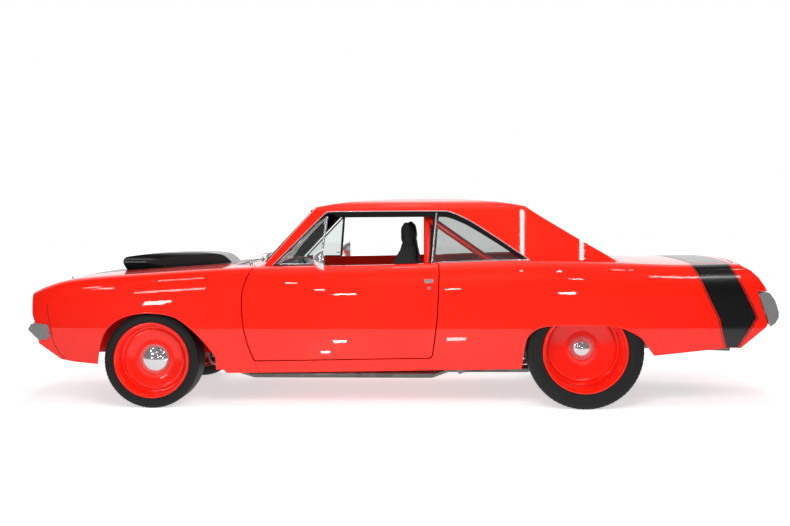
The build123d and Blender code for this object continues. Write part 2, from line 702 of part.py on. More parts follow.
axle_end = rear_face_y - rear_dish - 21
with BuildPart() as rear_axle_piece:
    add(rod((rear_axle, -axle_end, rear_tyre_radius), (rear_axle, axle_end, rear_tyre_radius), 30))
    add(rod((rear_axle, 21 - axle_end, rear_tyre_radius), (rear_axle, axle_end - 21, rear_tyre_radius), 42))
    add(rod((pinion_x, 0, rear_tyre_radius), (rear_axle, 0, rear_tyre_radius), 70))
    with Locations((rear_axle, 0, rear_tyre_radius)):
        Sphere(150)
    for s in (-1, 1):
        with BuildSketch(Plane.XZ.offset(-s * (spring_y - 28))):
            with BuildLine():
                ThreePointArc(behind(-800, 188), behind(0, 316), behind(600, 456))
                Line(behind(600, 456), behind(606, 480))
                ThreePointArc(behind(606, 480), behind(0, 344), behind(-800, 212))
                Line(behind(-800, 212), behind(-800, 188))
            make_face()
            with Locations(spring_eye):
                Circle(18)
        extrude(amount=-s * 56)
        y0, y1 = sorted((s * (spring_y - 28), s * (spring_y + 28)))
        add(box(rear_axle + 570, rear_axle + 606, y0, y1, 450, trunk_floor_z - floor_sheet - seat))

# ---- fuel tank and exhaust ------------------------------------------------------------------
with BuildPart() as fuel_tank:
    add(box(rear_axle + 480, rear_axle + 930, -330, 330, 372, trunk_floor_z - floor_sheet - seat))
    fillet(fuel_tank.edges().filter_by(Axis.Z), 60)
    fillet(fuel_tank.faces().sort_by(Axis.Z)[0].edges(), 25)

with BuildPart() as exhaust:
    for s in (-1, 1):
        add(tube([(engine_back - 60, s * (285 + seat), 670), (engine_back - 60, s * 346, 670),
                  (engine_back - 60, s * 346, 250), (front_axle + 640, s * 600, 196), (rear_axle - 990, s * 600, 196),
                  (rear_axle - 880, s * 390, 205), (rear_axle - 330, s * 390, 205),
                  (rear_axle - 170, s * 390, 480), (rear_axle + 200, s * 390, 480),
                  (rear_axle + 420, s * 385, 372), (rear_axle + 1021, s * 385, 352)], 26, 30))

# ---- knuckles and arms ----------------------------------------------------------------------
ball_pin = 11.0
with BuildPart() as suspension_arms:
    for s in (-1, 1):
        add(upward([(front_axle - 60, s * arm_pivot_y), (front_axle + 60, s * arm_pivot_y),
                    (front_axle + 22, s * (kingpin_y + 20)), (front_axle - 22, s * (kingpin_y + 20))],
                   lower_arm_z, lower_arm_z + arm_sheet))
        add(rod((front_axle, s * kingpin_y, lower_arm_z + 5), (front_axle, s * kingpin_y, 255), ball_pin))
        add(upward([(front_axle - 45, s * (apron_y + 10 + seat)), (front_axle + 45, s * (apron_y + 10 + seat)),
                    (front_axle + 18, s * (kingpin_y + 18)), (front_axle - 18, s * (kingpin_y + 18))],
                   upper_arm_z, upper_arm_z + arm_sheet))
        add(rod((front_axle, s * kingpin_y, 395), (front_axle, s * kingpin_y, upper_arm_z + 5), ball_pin))

spindle = 19.0
with BuildPart() as knuckle_left:
    add(rod((front_axle, -kingpin_y, lower_arm_z + arm_sheet + seat), (front_axle, -kingpin_y, upper_arm_z - seat), 25))
    add(rod((front_axle, -kingpin_y, front_tyre_radius),
            (front_axle, -front_face_y + front_dish + 21, front_tyre_radius), spindle))
    add(rod((front_axle, -kingpin_y, front_tyre_radius),
            (front_axle, -front_face_y + front_dish + 42, front_tyre_radius), 48))
    add(box(front_axle, front_axle + 130, -kingpin_y - 12, -kingpin_y + 12, 260, 290))
    add(rod((front_axle, -kingpin_y, 180), (front_axle, -kingpin_y, 256), ball_pin + seat), mode=Mode.SUBTRACT)
    add(rod((front_axle, -kingpin_y, 394), (front_axle, -kingpin_y, 460), ball_pin + seat), mode=Mode.SUBTRACT)


# ---- wheels and tyres -----------------------------------------------------------------------
def wheel(axle_x, face, radius, rim, width, dish, cap_radius, cap_height, bore):
    """Barrel, dished disc, hub and domed cap, turned about the wheel's axis."""
    step = rim - 47
    with BuildPart() as turned:
        with BuildSketch(Plane.XY):
            with BuildLine():
                Polyline((rim, 0), (rim, -10), (rim - 14, -14), (rim - 20, -50), (rim - 20, -width + 50),
                         (rim - 14, -width + 14), (rim, -width + 10), (rim, -width), (rim - 8, -width),
                         (rim - 22, -width + 14), (rim - 28, -width + 50), (rim - 28, -50), (rim - 22, -12),
                         (rim - 8, 0), close=True)
            make_face()
            with BuildLine():
                Line((0, -dish - 20), (0, -dish + cap_height))
                ThreePointArc((0, -dish + cap_height), (cap_radius * 0.62, -dish + cap_height * 0.72),
                              (cap_radius, -dish - 12))
                Polyline((cap_radius, -dish - 12), (step - 22, -dish - 16), (step - 8, -dish + 2), (step, -dish + 4),
                         (step + 6, -dish - 2), (rim - 24, -dish + 6), (rim - 24, -dish - 6),
                         (step + 4, -dish - 10), (step - 22, -dish - 26), (cap_radius + 12, -dish - 24),
                         (bore + 16, -dish - 26), (bore + 16, -dish - 40), (bore, -dish - 40), (bore, -dish - 20),
                         (0, -dish - 20))
            make_face()
        revolve(axis=Axis.Y)
    return Pos(axle_x, -face, radius) * (Rot(0, 0, 180) * turned.part)


shoulder = 15.0         # rounding of the tyre's edge


def tyre(axle_x, face, radius, rim, width):
    with BuildPart() as turned:
        with BuildSketch(Plane.XY):
            with BuildLine():
                Polyline((rim + seat, -10), (rim + seat + 8, -3), (rim + (radius - rim) * 0.45, 0),
                         (radius - shoulder, -5))
                ThreePointArc((radius - shoulder, -5), (radius - 4, -11), (radius, -22))
                Line((radius, -22), (radius, -width + 22))
                ThreePointArc((radius, -width + 22), (radius - 4, -width + 11), (radius - shoulder, -width + 5))
                Polyline((radius - shoulder, -width + 5), (rim + (radius - rim) * 0.45, -width),
                         (rim + seat + 8, -width + 3), (rim + seat, -width + 10), (rim + seat, -10))
            make_face()
        revolve(axis=Axis.Y)
    return Pos(axle_x, -face, radius) * (Rot(0, 0, 180) * turned.part)


front_wheel = wheel(front_axle, front_face_y, front_tyre_radius, front_rim_radius, front_tyre_width - 2, front_dish, 97, 42,
                    spindle + seat)
rear_wheel = wheel(rear_axle, rear_face_y, rear_tyre_radius, rear_rim_radius, rear_tyre_width - 2, rear_dish, 78.5, 36,
                   30 + seat)
front_tyre = tyre(front_axle, front_face_y, front_tyre_radius, front_rim_radius, front_tyre_width)
rear_tyre = tyre(rear_axle, rear_face_y, rear_tyre_radius, rear_rim_radius, rear_tyre_width)


def held(solid):
    with BuildPart() as holder:
        add(solid)
    return holder


# ---- interior -------------------------------------------------------------------------------
with BuildPart() as dashboard:
    add(across([ahead(655, 905), ahead(850, 925), ahead(900, 895), ahead(895, 790), ahead(850, 700),
                ahead(655, 700)], -690, 690))
    add(greenhouse(roof_wall + seat) + box(front_axle, rear_axle, -690, 690, 0, 932), mode=Mode.INTERSECT)
    wheel_at = (front_axle + 994, -350.0, 802.0)
    column_lean = radians(25)
    column = Vector(-cos(column_lean), 0, -sin(column_lean))
    hub_end = Vector(*wheel_at) + column * 30
    foot_end = Vector(*wheel_at) + column * 410
    add(rod(tuple(hub_end), tuple(foot_end), 30))
    add(rod(tuple(Vector(*wheel_at) + column * 6), tuple(hub_end), 9))
    add(firewall.part, mode=Mode.SUBTRACT)

with BuildPart() as steering_wheel:
    rim_plane = Plane(origin=wheel_at, x_dir=(0, 1, 0), z_dir=tuple(column))
    with BuildSketch(rim_plane):
        Circle(28)
        Circle(9 + seat, mode=Mode.SUBTRACT)
    extrude(amount=25)
    with BuildSketch(rim_plane.offset(-12)):
        Circle(28)
    extrude(amount=14)
    with BuildSketch(Plane(origin=wheel_at, x_dir=(0, 1, 0), z_dir=tuple(column.cross(Vector(0, 1, 0))))):
        with Locations((180, 0)):
            Circle(11)
    revolve(axis=Axis(wheel_at, tuple(column)))
    with BuildSketch(rim_plane.offset(-4)):
        with PolarLocations(90, 3, start_angle=90):
            Rectangle(172, 26)
    extrude(amount=9)

seat_profile = [ahead(1090, 300), ahead(1086, 470), ahead(1120, 535), ahead(1480, 500), ahead(1530, 700),
                ahead(1548, 916), ahead(1563, 961), ahead(1604, 1018), ahead(1625, 1087), ahead(1622, 1201),
                ahead(1639, 1221), ahead(1662, 1225), ahead(1684, 1212), ahead(1696, 1166), ahead(1709, 1075),
                ahead(1722, 1018), ahead(1742, 920), ahead(1712, 520), ahead(1650, 300)]


def bucket_seat(centre):
    with BuildPart() as one:
        add(across(seat_profile, centre - 240, centre + 240))
        add(along([(centre - 205, 280), (centre - 215, 600), (centre - 240, 700), (centre - 235, 980),
                   (centre - 150, 1080), (centre - 130, 1240), (centre + 130, 1240), (centre + 150, 1080),
                   (centre + 235, 980), (centre + 240, 700), (centre + 215, 600), (centre + 205, 280)],
                  front_axle + 1000, front_axle + 1800), mode=Mode.INTERSECT)
        for y in (centre - 160, centre + 140):
            add(box(front_axle + 1140, front_axle + 1600, y, y + 20, floor_z + seat, 305))
    return one


seat_left = bucket_seat(-350)
seat_right = bucket_seat(350)

with BuildPart() as rear_bench:
    add(across([behind(-625, 300), behind(-625, 585), behind(-600, 610), behind(-350, 600), behind(-300, 620),
                behind(-190, 892), behind(-60, 892), behind(-120, over_axle_z + seat), behind(-330, over_axle_z + seat),
                behind(-560 - 1, 420 + seat)], -tub_wall + 10, tub_wall - 10))
    add(floor.part, mode=Mode.SUBTRACT)
    add(along([(-tunnel_half - seat, floor_z - 5), (-tunnel_half + 35, tunnel_z + seat),
               (tunnel_half - 35, tunnel_z + seat), (tunnel_half + seat, floor_z - 5)], firewall_x, rear_axle - 430),
        mode=Mode.SUBTRACT)

cage_x = rear_axle - 1020
cage_tube = 22.0
with BuildPart() as roll_cage:
    add(tube([(cage_x, -600, floor_z + seat), (cage_x, -600, 900), (cage_x, -500, 1268), (cage_x, 500, 1268),
              (cage_x, 600, 900), (cage_x, 600, floor_z + seat)], cage_tube, 90))
    for s in (-1, 1):
        add(rod((cage_x, s * 505, 1240), (rear_axle - 60, s * 500, over_axle_z - 10), cage_tube - 3))
    add(rear_bench.part, mode=Mode.SUBTRACT)
    add(floor.part, mode=Mode.SUBTRACT)
    add(box(cage_x, rear_axle, -reach, reach, 500, over_axle_z), mode=Mode.SUBTRACT)
    add(box(rear_axle - 200, rear_axle, -reach, reach, over_axle_z - 5, 1000), mode=Mode.SUBTRACT)

with BuildPart() as rear_shelf:
    add(box(rear_axle - 180, rear_axle + 64, -600, 600, 893, 903))
    add(box(rear_axle + 58, rear_axle + 66, -600, 600, 893, 1000))
    for s in (-1, 1):
        for step in (-hinge_leaf / 2 - ear - 0.5, hinge_leaf / 2 + 0.5):
            y = s * hinge_y + step
            add(box(rear_axle + 60, lid_pin_x + hinge_eye, y, y + ear, lid_pin_z - 8, lid_pin_z + 8))
        add(rod((lid_pin_x, s * hinge_y - hinge_leaf / 2 - 4, lid_pin_z),
                (lid_pin_x, s * hinge_y + hinge_leaf / 2 + 4, lid_pin_z), hinge_pin))
    add(inner_body, mode=Mode.INTERSECT)
    add((outer_body - inner_body) & box(rear_axle + 30, lid_front + 20 - seat, -reach, reach, 800, 1200)
        - lid_zone(gap), mode=Mode.ADD)
    add(box(rear_axle - 300, rear_axle + 600, -reach, -lid_half_front + seat, 0, 1200), mode=Mode.SUBTRACT)
    add(box(rear_axle - 300, rear_axle + 600, lid_half_front - seat, reach, 0, 1200), mode=Mode.SUBTRACT)

# ---- nose and tail --------------------------------------------------------------------------
lamp_y, lamp_z, lamp_radius = 690.0, 655.0, 86.0
grille_half, grille_low, grille_high = 585.0, 585.0, 728.0
face_x = front_axle - 780
with BuildPart() as nose_panel:
    add(across([ahead(-782, 562), ahead(-760, 424), ahead(-618, 319), ahead(-618, 331), ahead(-751, 430),
                ahead(-771, 562)], -reach, reach))
    add(box(face_x, face_x + 10, -reach, reach, 555, 900))
    add(seat_inner, mode=Mode.INTERSECT)
    add((outer_body - inner_body) & box(front_axle - 806, hood_front - gap, -nose_half, nose_half, 600, 900))
    add(inner_body & box(face_x, face_x + 10, -nose_half, nose_half, 700, 900))
    add(box(face_x - 10, face_x + 20, -grille_half, grille_half, grille_low, grille_high), mode=Mode.SUBTRACT)
    for s in (-1, 1):
        add(rod((face_x - 10, s * lamp_y, lamp_z), (face_x + 20, s * lamp_y, lamp_z), lamp_radius), mode=Mode.SUBTRACT)
        y0, y1 = sorted((s * (rail_y - 26), s * (rail_y + 26)))
        add(box(front_axle - 850, front_axle - 690, y0, y1, 461, 533), mode=Mode.SUBTRACT)

bars = 7
with BuildPart() as grille:
    add(box(face_x + 1, face_x + 42, -grille_half + seat, grille_half - seat, grille_low + seat, grille_high - seat)
        - box(face_x, face_x + 50, -grille_half + 12, grille_half - 12, grille_low + 12, grille_high - 12))
    pitch = (grille_high - grille_low - 12) / (bars + 1)
    for i in range(bars):
        z = grille_low + 6 + pitch * (i + 1)
        add(box(face_x + 8, face_x + 34, -grille_half + 6, grille_half - 6, z - 2.5, z + 2.5))
    for y in (-290, 0, 290):
        add(box(face_x + 14, face_x + 30, y - 4, y + 4, grille_low + 6, grille_high - 6))

lens_dome = 320.0
with BuildPart() as headlamps:
    for s in (-1, 1):
        add(rod((face_x - 14, s * lamp_y, lamp_z), (face_x + 50, s * lamp_y, lamp_z), lamp_radius - seat)
            & Pos(face_x - 14 + lens_dome, s * lamp_y, lamp_z) * Sphere(lens_dome, mode=Mode.PRIVATE))

bumper_half = 826.0
bumper_wall = 10.0
front_bow = -74.0
front_bumper_outline = [ahead(-821, 516), ahead(-800, 554), ahead(-767, 559), ahead(-689, 549), ahead(-672, 475),
                        ahead(-691, 453), ahead(-752, 450)]
front_bumper_hollow = [ahead(-811, 516), ahead(-794, 545), ahead(-767, 549), ahead(-620, 539), ahead(-620, 463),
                       ahead(-691, 463), ahead(-748, 460)]
with BuildPart() as front_bumper:
    add(bowed(front_bumper_outline, bumper_half, front_bow))
    add(bowed(front_bumper_hollow, bumper_half - bumper_wall, front_bow), mode=Mode.SUBTRACT)
    add(seat_block & box(front_axle - 812, front_axle, -reach, reach, 400, 600), mode=Mode.SUBTRACT)
    for s in (-1, 1):
        y0, y1 = sorted((s * (rail_y - 25), s * (rail_y + 25)))
        add(box(front_axle - 868, support_x - 12 - seat, y0, y1, 462, 532))

# rear bumper at its end, its hollow open towards the body
rear_bow = 50.0
rear_bumper_outline = [behind(1095, 748), behind(1139, 757), behind(1162, 752), behind(1197, 701), behind(1219, 630),
                       behind(1219, 595), behind(1199, 559), behind(1167, 536), behind(1148, 595), behind(1112, 689)]
rear_bumper_hollow = [behind(1000, 737), behind(1138, 747), behind(1155, 742), behind(1187, 698), behind(1209, 629),
                      behind(1209, 598), behind(1192, 567), behind(1168, 550), behind(1000, 550)]
lamp_near, lamp_far, lamp_low, lamp_high = 400.0, 660.0, 590.0, 685.0
plate_face = rear_axle + 1226
plate_half, plate_low, plate_high = 156.0, 561.0, 715.0
plate_bolt = 3.5
plate_bolt_y = 88.9
plate_bolt_z = 697.0
with BuildPart() as rear_bumper:
    add(bowed(rear_bumper_outline, bumper_half, rear_bow))
    add(bowed(rear_bumper_hollow, bumper_half - 16, rear_bow), mode=Mode.SUBTRACT)
    for s in (-1, 1):
        y0, y1 = sorted((s * lamp_near, s * lamp_far))
        add(box(rear_axle + 1160, rear_axle + 1300, y0, y1, lamp_low, lamp_high), mode=Mode.SUBTRACT)
        y0, y1 = sorted((s * 320, s * 370))
        add(box(rear_axle + 1100, rear_axle + 1252, y0, y1, 600, 660))
    add(box(plate_face - 30, plate_face, -plate_half - 14, plate_half + 14, plate_low - 10, plate_high + 6))
    add(box(plate_face, rear_axle + 1300, -plate_half, plate_half, plate_low, plate_high), mode=Mode.SUBTRACT)
    for s in (-1, 1):
        add(rod((plate_face - 60, s * plate_bolt_y, plate_bolt_z), (plate_face + 40, s * plate_bolt_y, plate_bolt_z),
                plate_bolt), mode=Mode.SUBTRACT)
    add(bowed([behind(900, 535)] + [(x + seat, z) for x, z in tail_edge[1:6]] + [behind(900, 810)],
              tail_half, tail_bow), mode=Mode.SUBTRACT)

with BuildPart() as tail_lamps:
    lamp_body = bowed([behind(1178, 580), behind(1217, 580), behind(1217, 630), behind(1199, 690), behind(1160, 690)],
                      bumper_half, rear_bow)
    for s in (-1, 1):
        y0, y1 = sorted((s * (lamp_near + seat), s * (lamp_far - seat)))
        add(lamp_body & box(rear_axle + 1150, rear_axle + 1300, y0, y1, lamp_low + seat, lamp_high - seat))

strip_half = lid_half_rear + gap - seat     # half width of the strip behind the lid
tail_inside = [behind(984, 412), behind(1131, 541), behind(1135, 562), behind(1091, 686), behind(1076, 775),
               behind(1130, 773), behind(1118, 792), behind(1081, 839), behind(1037, 882), behind(978, 914)]
tail_sheet = bowed(tail_edge + tail_inside[::-1], tail_half, tail_bow)
with BuildPart() as tail_panel:
    add(tail_sheet & seat_inner)
    add(tail_sheet & outer_body & box(rear_axle + 900, rear_axle + 1300, -strip_half, strip_half, 300, 1000))
    add((outer_body - inner_body) & box(lid_rear, rear_axle + 1225, -strip_half, strip_half, 800, 1000)
        - lid_zone(gap) - beyond_tail)

# ---- door trim ------------------------------------------------------------------------------
vent_sheet = 12.0
vent_in = 5.0           # outer face of the vent frame inboard of the greenhouse side
vent_outline = [ahead(800, 916), ahead(1127, 1256), ahead(1150, 1256), ahead(1108, 916)]
with BuildPart() as vent_window_left:
    add(across(vent_outline, -reach, 0))
    faces_of_vent = [(-slope_half(900, vent_in), 900), (-slope_half(1260, vent_in), 1260),
                     (-slope_half(1260, vent_in + vent_sheet), 1260), (-slope_half(900, vent_in + vent_sheet), 900)]
    add(along(faces_of_vent, front_axle + 700, front_axle + 1200), mode=Mode.INTERSECT)
    add(box(front_axle + 815, front_axle + 1106, -belt_half - 30, -belt_half + 12, 905, 938))
    add(seat_block, mode=Mode.SUBTRACT)
mirror_pod = (front_axle + 1140, -half_body - 62, 975.0)
with BuildPart() as door_mirror_left:
    for x, wide, tall in ((-54, 24, 34), (-30, 44, 56), (14, 54, 72)):
        with BuildSketch(Plane(origin=(mirror_pod[0] + x, mirror_pod[1], mirror_pod[2]), x_dir=(0, 1, 0),
                               z_dir=(1, 0, 0))):
            Ellipse(wide, tall)
    loft()
    add(rod((front_axle + 1148, -half_body + 70, 900), (front_axle + 1118, mirror_pod[1] + 20, 930), 9))
    add(seat_block, mode=Mode.SUBTRACT)

# ---- files ----------------------------------------------------------------------------------
os.makedirs("parts", exist_ok=True)
for piece, name in (
    (roof, "roof"), (windows, "windshield"), (rear_window, "rear_window"), (quarter_windows, "quarter_windows"),
    (hood, "hood"), (trunk_lid, "trunk_lid"), (hood_scoop, "hood_scoop"), (firewall, "firewall"), (cowl, "cowl"),
    (floor_pan, "floor_pan"), (rear_floor, "rear_floor"), (wheel_tubs, "wheel_tubs"),
    (front_structure, "front_structure"), (radiator_support, "radiator_support"), (radiator, "radiator"), (engine, "engine"),
    (driveshaft, "driveshaft"), (rear_axle_piece, "rear_axle"), (fuel_tank, "fuel_tank"), (exhaust, "exhaust"),
    (suspension_arms, "suspension_arms"), (dashboard, "dashboard"), (steering_wheel, "steering_wheel"),
    (seat_left, "seat_left"), (seat_right, "seat_right"), (rear_bench, "rear_bench"), (roll_cage, "roll_cage"),
    (rear_shelf, "rear_shelf"), (nose_panel, "nose_panel"), (grille, "grille"), (headlamps, "headlamps"),
    (front_bumper, "front_bumper"), (rear_bumper, "rear_bumper"), (tail_lamps, "tail_lamps"),
    (tail_panel, "tail_panel"),
):
    kept(piece, name)
for piece, name in (
    (fender_left, "fender"), (body_side_left, "quarter"), (door_left, "door"), (vent_window_left, "vent_window"),
    (door_mirror_left, "door_mirror"),
    (knuckle_left, "knuckle"), (held(front_wheel), "front_wheel"), (held(rear_wheel), "rear_wheel"),
    (held(front_tyre), "front_tyre"), (held(rear_tyre), "rear_tyre"),
):
    kept(piece, name + "_left")
    kept(mirrored(piece), name + "_right")
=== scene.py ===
import bpy
import bmesh
import json
import math
from mathutils import Matrix, Vector
from mathutils.bvhtree import BVHTree

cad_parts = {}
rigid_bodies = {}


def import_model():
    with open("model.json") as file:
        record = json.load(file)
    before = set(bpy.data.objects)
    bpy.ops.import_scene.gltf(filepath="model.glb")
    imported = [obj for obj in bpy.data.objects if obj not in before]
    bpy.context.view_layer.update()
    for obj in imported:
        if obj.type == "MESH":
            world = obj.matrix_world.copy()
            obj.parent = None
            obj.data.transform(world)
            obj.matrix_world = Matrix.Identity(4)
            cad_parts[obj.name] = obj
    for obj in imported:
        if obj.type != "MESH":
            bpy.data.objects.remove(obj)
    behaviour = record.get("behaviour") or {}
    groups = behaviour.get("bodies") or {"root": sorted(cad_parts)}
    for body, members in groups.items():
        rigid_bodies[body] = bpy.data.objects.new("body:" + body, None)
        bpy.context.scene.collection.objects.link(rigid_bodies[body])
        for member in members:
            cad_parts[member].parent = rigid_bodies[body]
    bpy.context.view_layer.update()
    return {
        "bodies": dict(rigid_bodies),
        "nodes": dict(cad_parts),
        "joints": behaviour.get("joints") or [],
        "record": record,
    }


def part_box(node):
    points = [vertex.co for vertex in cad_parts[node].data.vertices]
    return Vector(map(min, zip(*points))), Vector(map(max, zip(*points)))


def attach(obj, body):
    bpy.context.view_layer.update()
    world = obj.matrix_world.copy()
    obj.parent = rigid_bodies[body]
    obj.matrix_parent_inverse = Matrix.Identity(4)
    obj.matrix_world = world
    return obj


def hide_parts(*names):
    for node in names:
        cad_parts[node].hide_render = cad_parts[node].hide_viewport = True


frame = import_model()
nodes = frame["nodes"]
print("stage: frame loaded,", len(nodes), "solids")


outsideMm = 1300  # beside the car, clear of its mirrors
aboveMm = 1200  # above hood and deck
seatedMm = 0.3  # how deep a thin trim sits in its skin

# helpers
def linear(hexColour):  # sRGB hex to scene linear
    parts = [int(hexColour[i:i + 2], 16) / 255 for i in (0, 2, 4)]
    return tuple(c / 12.92 if c <= 0.04045 else ((c + 0.055) / 1.055) ** 2.4 for c in parts) + (1.0,)


def add(tree, kind, settings=None, links=None):  # one shader node with its settings and links
    made = tree.nodes.new(kind)
    for name, value in (settings or {}).items():
        if isinstance(name, int) or name in made.inputs:
            made.inputs[name].default_value = value
        else:
            setattr(made, name, value)
    for name, socket in (links or {}).items():
        tree.links.new(socket, made.inputs[name])
    return made


def noise(tree, scale, detail, place):  # a cloudy pattern over a place
    return add(tree, "ShaderNodeTexNoise", {"Scale": scale, "Detail": detail},
               {"Vector": place}).outputs["Fac"]


def emboss(tree, shader, strength, depth, height,
           coat="Normal"):  # a fine relief from a pattern, depth in metres
    bump = add(tree, "ShaderNodeBump", {"Strength": strength, "Distance": depth}, {"Height": height})
    tree.links.new(bump.outputs[0], shader.inputs[coat])


def mottle(tree, shader, one, other, pattern):  # a colour that drifts between two
    tone = add(tree, "ShaderNodeMix", {"data_type": "RGBA", 6: linear(one), 7: linear(other)},
               {"Factor": pattern})
    tree.links.new(tone.outputs[2], shader.inputs["Base Color"])


def cloudRoughness(tree, shader, span, pattern):  # a roughness that drifts between two
    spread = add(tree, "ShaderNodeMapRange", span, {"Value": pattern})
    tree.links.new(spread.outputs[0], shader.inputs["Roughness"])


def newMaterial(name, settings):  # a material with only its shader and output
    made = bpy.data.materials.new(name)
    made.use_nodes = True
    tree = made.node_tree
    tree.nodes.clear()
    shader = add(tree, "ShaderNodeBsdfPrincipled", settings)
    add(tree, "ShaderNodeOutputMaterial", None, {"Surface": shader.outputs[0]})
    return made, tree, shader


def inMetres(*point):
    return Vector([v / 1000 for v in point])


def nodeBox(name):  # in millimetres
    low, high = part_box(name)
    return low * 1000, high * 1000


def finishPiece(obj, material, body, smoothAngle=35):
    if obj.type == "MESH":
        for face in obj.data.polygons:
            face.use_smooth = True
        if smoothAngle:
            obj.data.set_sharp_from_angle(angle=math.radians(smoothAngle))
    if not obj.data.materials:
        obj.data.materials.append(material)
    if body:
        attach(obj, body)
    return obj


def meshPiece(name, points, faces, material, body, smoothAngle=35):  # points in millimetres
    mesh = bpy.data.meshes.new(name)
    mesh.from_pydata([inMetres(*p) for p in points], [], faces)
    mesh.validate()
    obj = bpy.data.objects.new(name, mesh)
    bpy.context.scene.collection.objects.link(obj)
    return finishPiece(obj, material, body, smoothAngle)


def tidyNormals(obj):
    work = bmesh.new()
    work.from_mesh(obj.data)
    bmesh.ops.remove_doubles(work, verts=work.verts, dist=1e-6)
    bmesh.ops.recalc_face_normals(work, faces=work.faces)
    work.to_mesh(obj.data)
    work.free()


def skinOf(*names):  # the surfaces of some solids, to lay trim on
    points, faces = [], []
    for name in names:
        mesh, base = nodes[name].data, len(points)
        points += [v.co.copy() for v in mesh.vertices]
        faces += [[base + i for i in f.vertices] for f in mesh.polygons]
    return BVHTree.FromPolygons(points, faces)


def land(skin, start, way):  # first point met from start, in millimetres, and the outward normal there
    way = Vector(way).normalized()
    hit, normal, _, _ = skin.ray_cast(inMetres(*start), way)
    if hit is None:
        return None
    return hit * 1000, (normal if normal.dot(way) < 0 else -normal)


# path holds (point, normal) pairs, section (across, out) points
def fromSide(skin, x, z, side):  # the skin as it is met from beside the car
    return land(skin, (x, side * outsideMm, z), (0, -side, 0))


def fromAbove(skin, x, y):  # and from above it
    return land(skin, (x, y, aboveMm), (0, 0, -1))


def sweepPiece(name, path, section, material, body, closed=False, smoothAngle=40):
    points, faces = [], []
    count, ring = len(path), len(section)
    for i, (here, normal) in enumerate(path):
        before = path[i - 1][0] if i or closed else here
        after = path[(i + 1) % count][0] if i + 1 < count or closed else here
        run = (Vector(after) - Vector(before)).normalized()
        side = run.cross(Vector(normal)).normalized()
        out = side.cross(run).normalized()
        points += [Vector(here) + side * u + out * v for u, v in section]
    for i in range(count if closed else count - 1):
        a, b = i * ring, ((i + 1) % count) * ring
        faces += [(a + j, a + (j + 1) % ring, b + (j + 1) % ring, b + j) for j in range(ring)]
    if not closed:
        faces += [tuple(range(ring))[::-1], tuple(range((count - 1) * ring, count * ring))]
    piece = meshPiece(name, points, faces, material, body, smoothAngle)
    tidyNormals(piece)
    return piece


# profile holds (radius, out) points, turned about an axle along Y; side is -1 on the left
def turnedPiece(name, profile, centre, side, material, body, segments=96, smoothAngle=35):
    points, faces, ring = [], [], len(profile)
    for i in range(segments):
        turn = 2 * math.pi * i / segments
        points += [(centre[0] + r * math.cos(turn), centre[1] + side * out,
                    centre[2] + r * math.sin(turn)) for r, out in profile]
    for i in range(segments):
        a, b = i * ring, (i + 1) % segments * ring
        faces += [(a + j, a + j + 1, b + j + 1, b + j) for j in range(ring - 1)]
    piece = meshPiece(name, points, faces, material, body, smoothAngle)
    tidyNormals(piece)
    return piece


def addBlock(work, low, high, round=3.0, segments=3):  # a rounded block in an open bmesh, in millimetres
    size, middle = [(h - l) / 1000 for l, h in zip(low, high)], [(h + l) / 2000 for l, h in zip(low, high)]
    made = bmesh.ops.create_cube(work, size=1.0, matrix=Matrix.Translation(middle) @ Matrix.Diagonal((*size,
            1.0)))
    edges = list({e for v in made["verts"] for e in v.link_edges})
    return bmesh.ops.bevel(work, geom=edges, offset=min(round / 1000, min(size) * 0.45), segments=segments,
                           affect="EDGES")


def addRod(work, start, end, radius, segments=24, tip=None):  # a round bar in an open bmesh
    start, end = inMetres(*start), inMetres(*end)
    way = end - start
    turn = way.to_track_quat("Z", "Y").to_matrix().to_4x4()
    return bmesh.ops.create_cone(work, cap_ends=True, segments=segments, radius1=radius / 1000,
                                 radius2=(radius if tip is None else tip) / 1000, depth=way.length,
                                 matrix=Matrix.Translation((start + end) / 2) @ turn)


def builtPiece(name, build, material, body,
               smoothAngle=35):  # runs build on a bmesh and keeps the result
    work = bmesh.new()
    build(work)
    bmesh.ops.recalc_face_normals(work, faces=work.faces)
    mesh = bpy.data.meshes.new(name)
    work.to_mesh(mesh)
    work.free()
    obj = bpy.data.objects.new(name, mesh)
    bpy.context.scene.collection.objects.link(obj)
    return finishPiece(obj, material, body, smoothAngle)


frontAxle = (nodeBox("front_wheel_left")[0].x + nodeBox("front_wheel_left")[1].x) / 2
rearAxle = (nodeBox("rear_wheel_left")[0].x + nodeBox("rear_wheel_left")[1].x) / 2
frontTyre, rearTyre = nodeBox("front_tyre_left")[1].z / 2, nodeBox("rear_tyre_left")[1].z / 2


def fromFront(x, *rest):  # a point given from the front axle
    return (frontAxle + x, *rest)


def fromRear(x, *rest):
    return (rearAxle + x, *rest)


# materials
# two-pack enamel under clear lacquer, sprayed and polished: a deep even orange-red with sharp reflections
enamel = {"colour": "ff1c00", "shade": "f21600", "roughness": 0.35, "lacquer": 0.02, "orangePeel": 0.012,
          "peelSizeMm": 5.0}
redEnamel, tree, shader = newMaterial("redEnamelSprayed", {
    "Roughness": enamel["roughness"], "Specular IOR Level": 0.15, "Coat Weight": 1.0,
    "Coat Roughness": enamel["lacquer"],
    "Coat IOR": 1.5})
coords = add(tree, "ShaderNodeTexCoord").outputs["Object"]
broad = noise(tree, 1.6, 2.0, coords)
mottle(tree, shader, enamel["colour"], enamel["shade"], broad)
peel = noise(tree, 1000 / enamel["peelSizeMm"], 1.0, coords)
emboss(tree, shader, enamel["orangePeel"], 0.0005, peel, "Coat Normal")

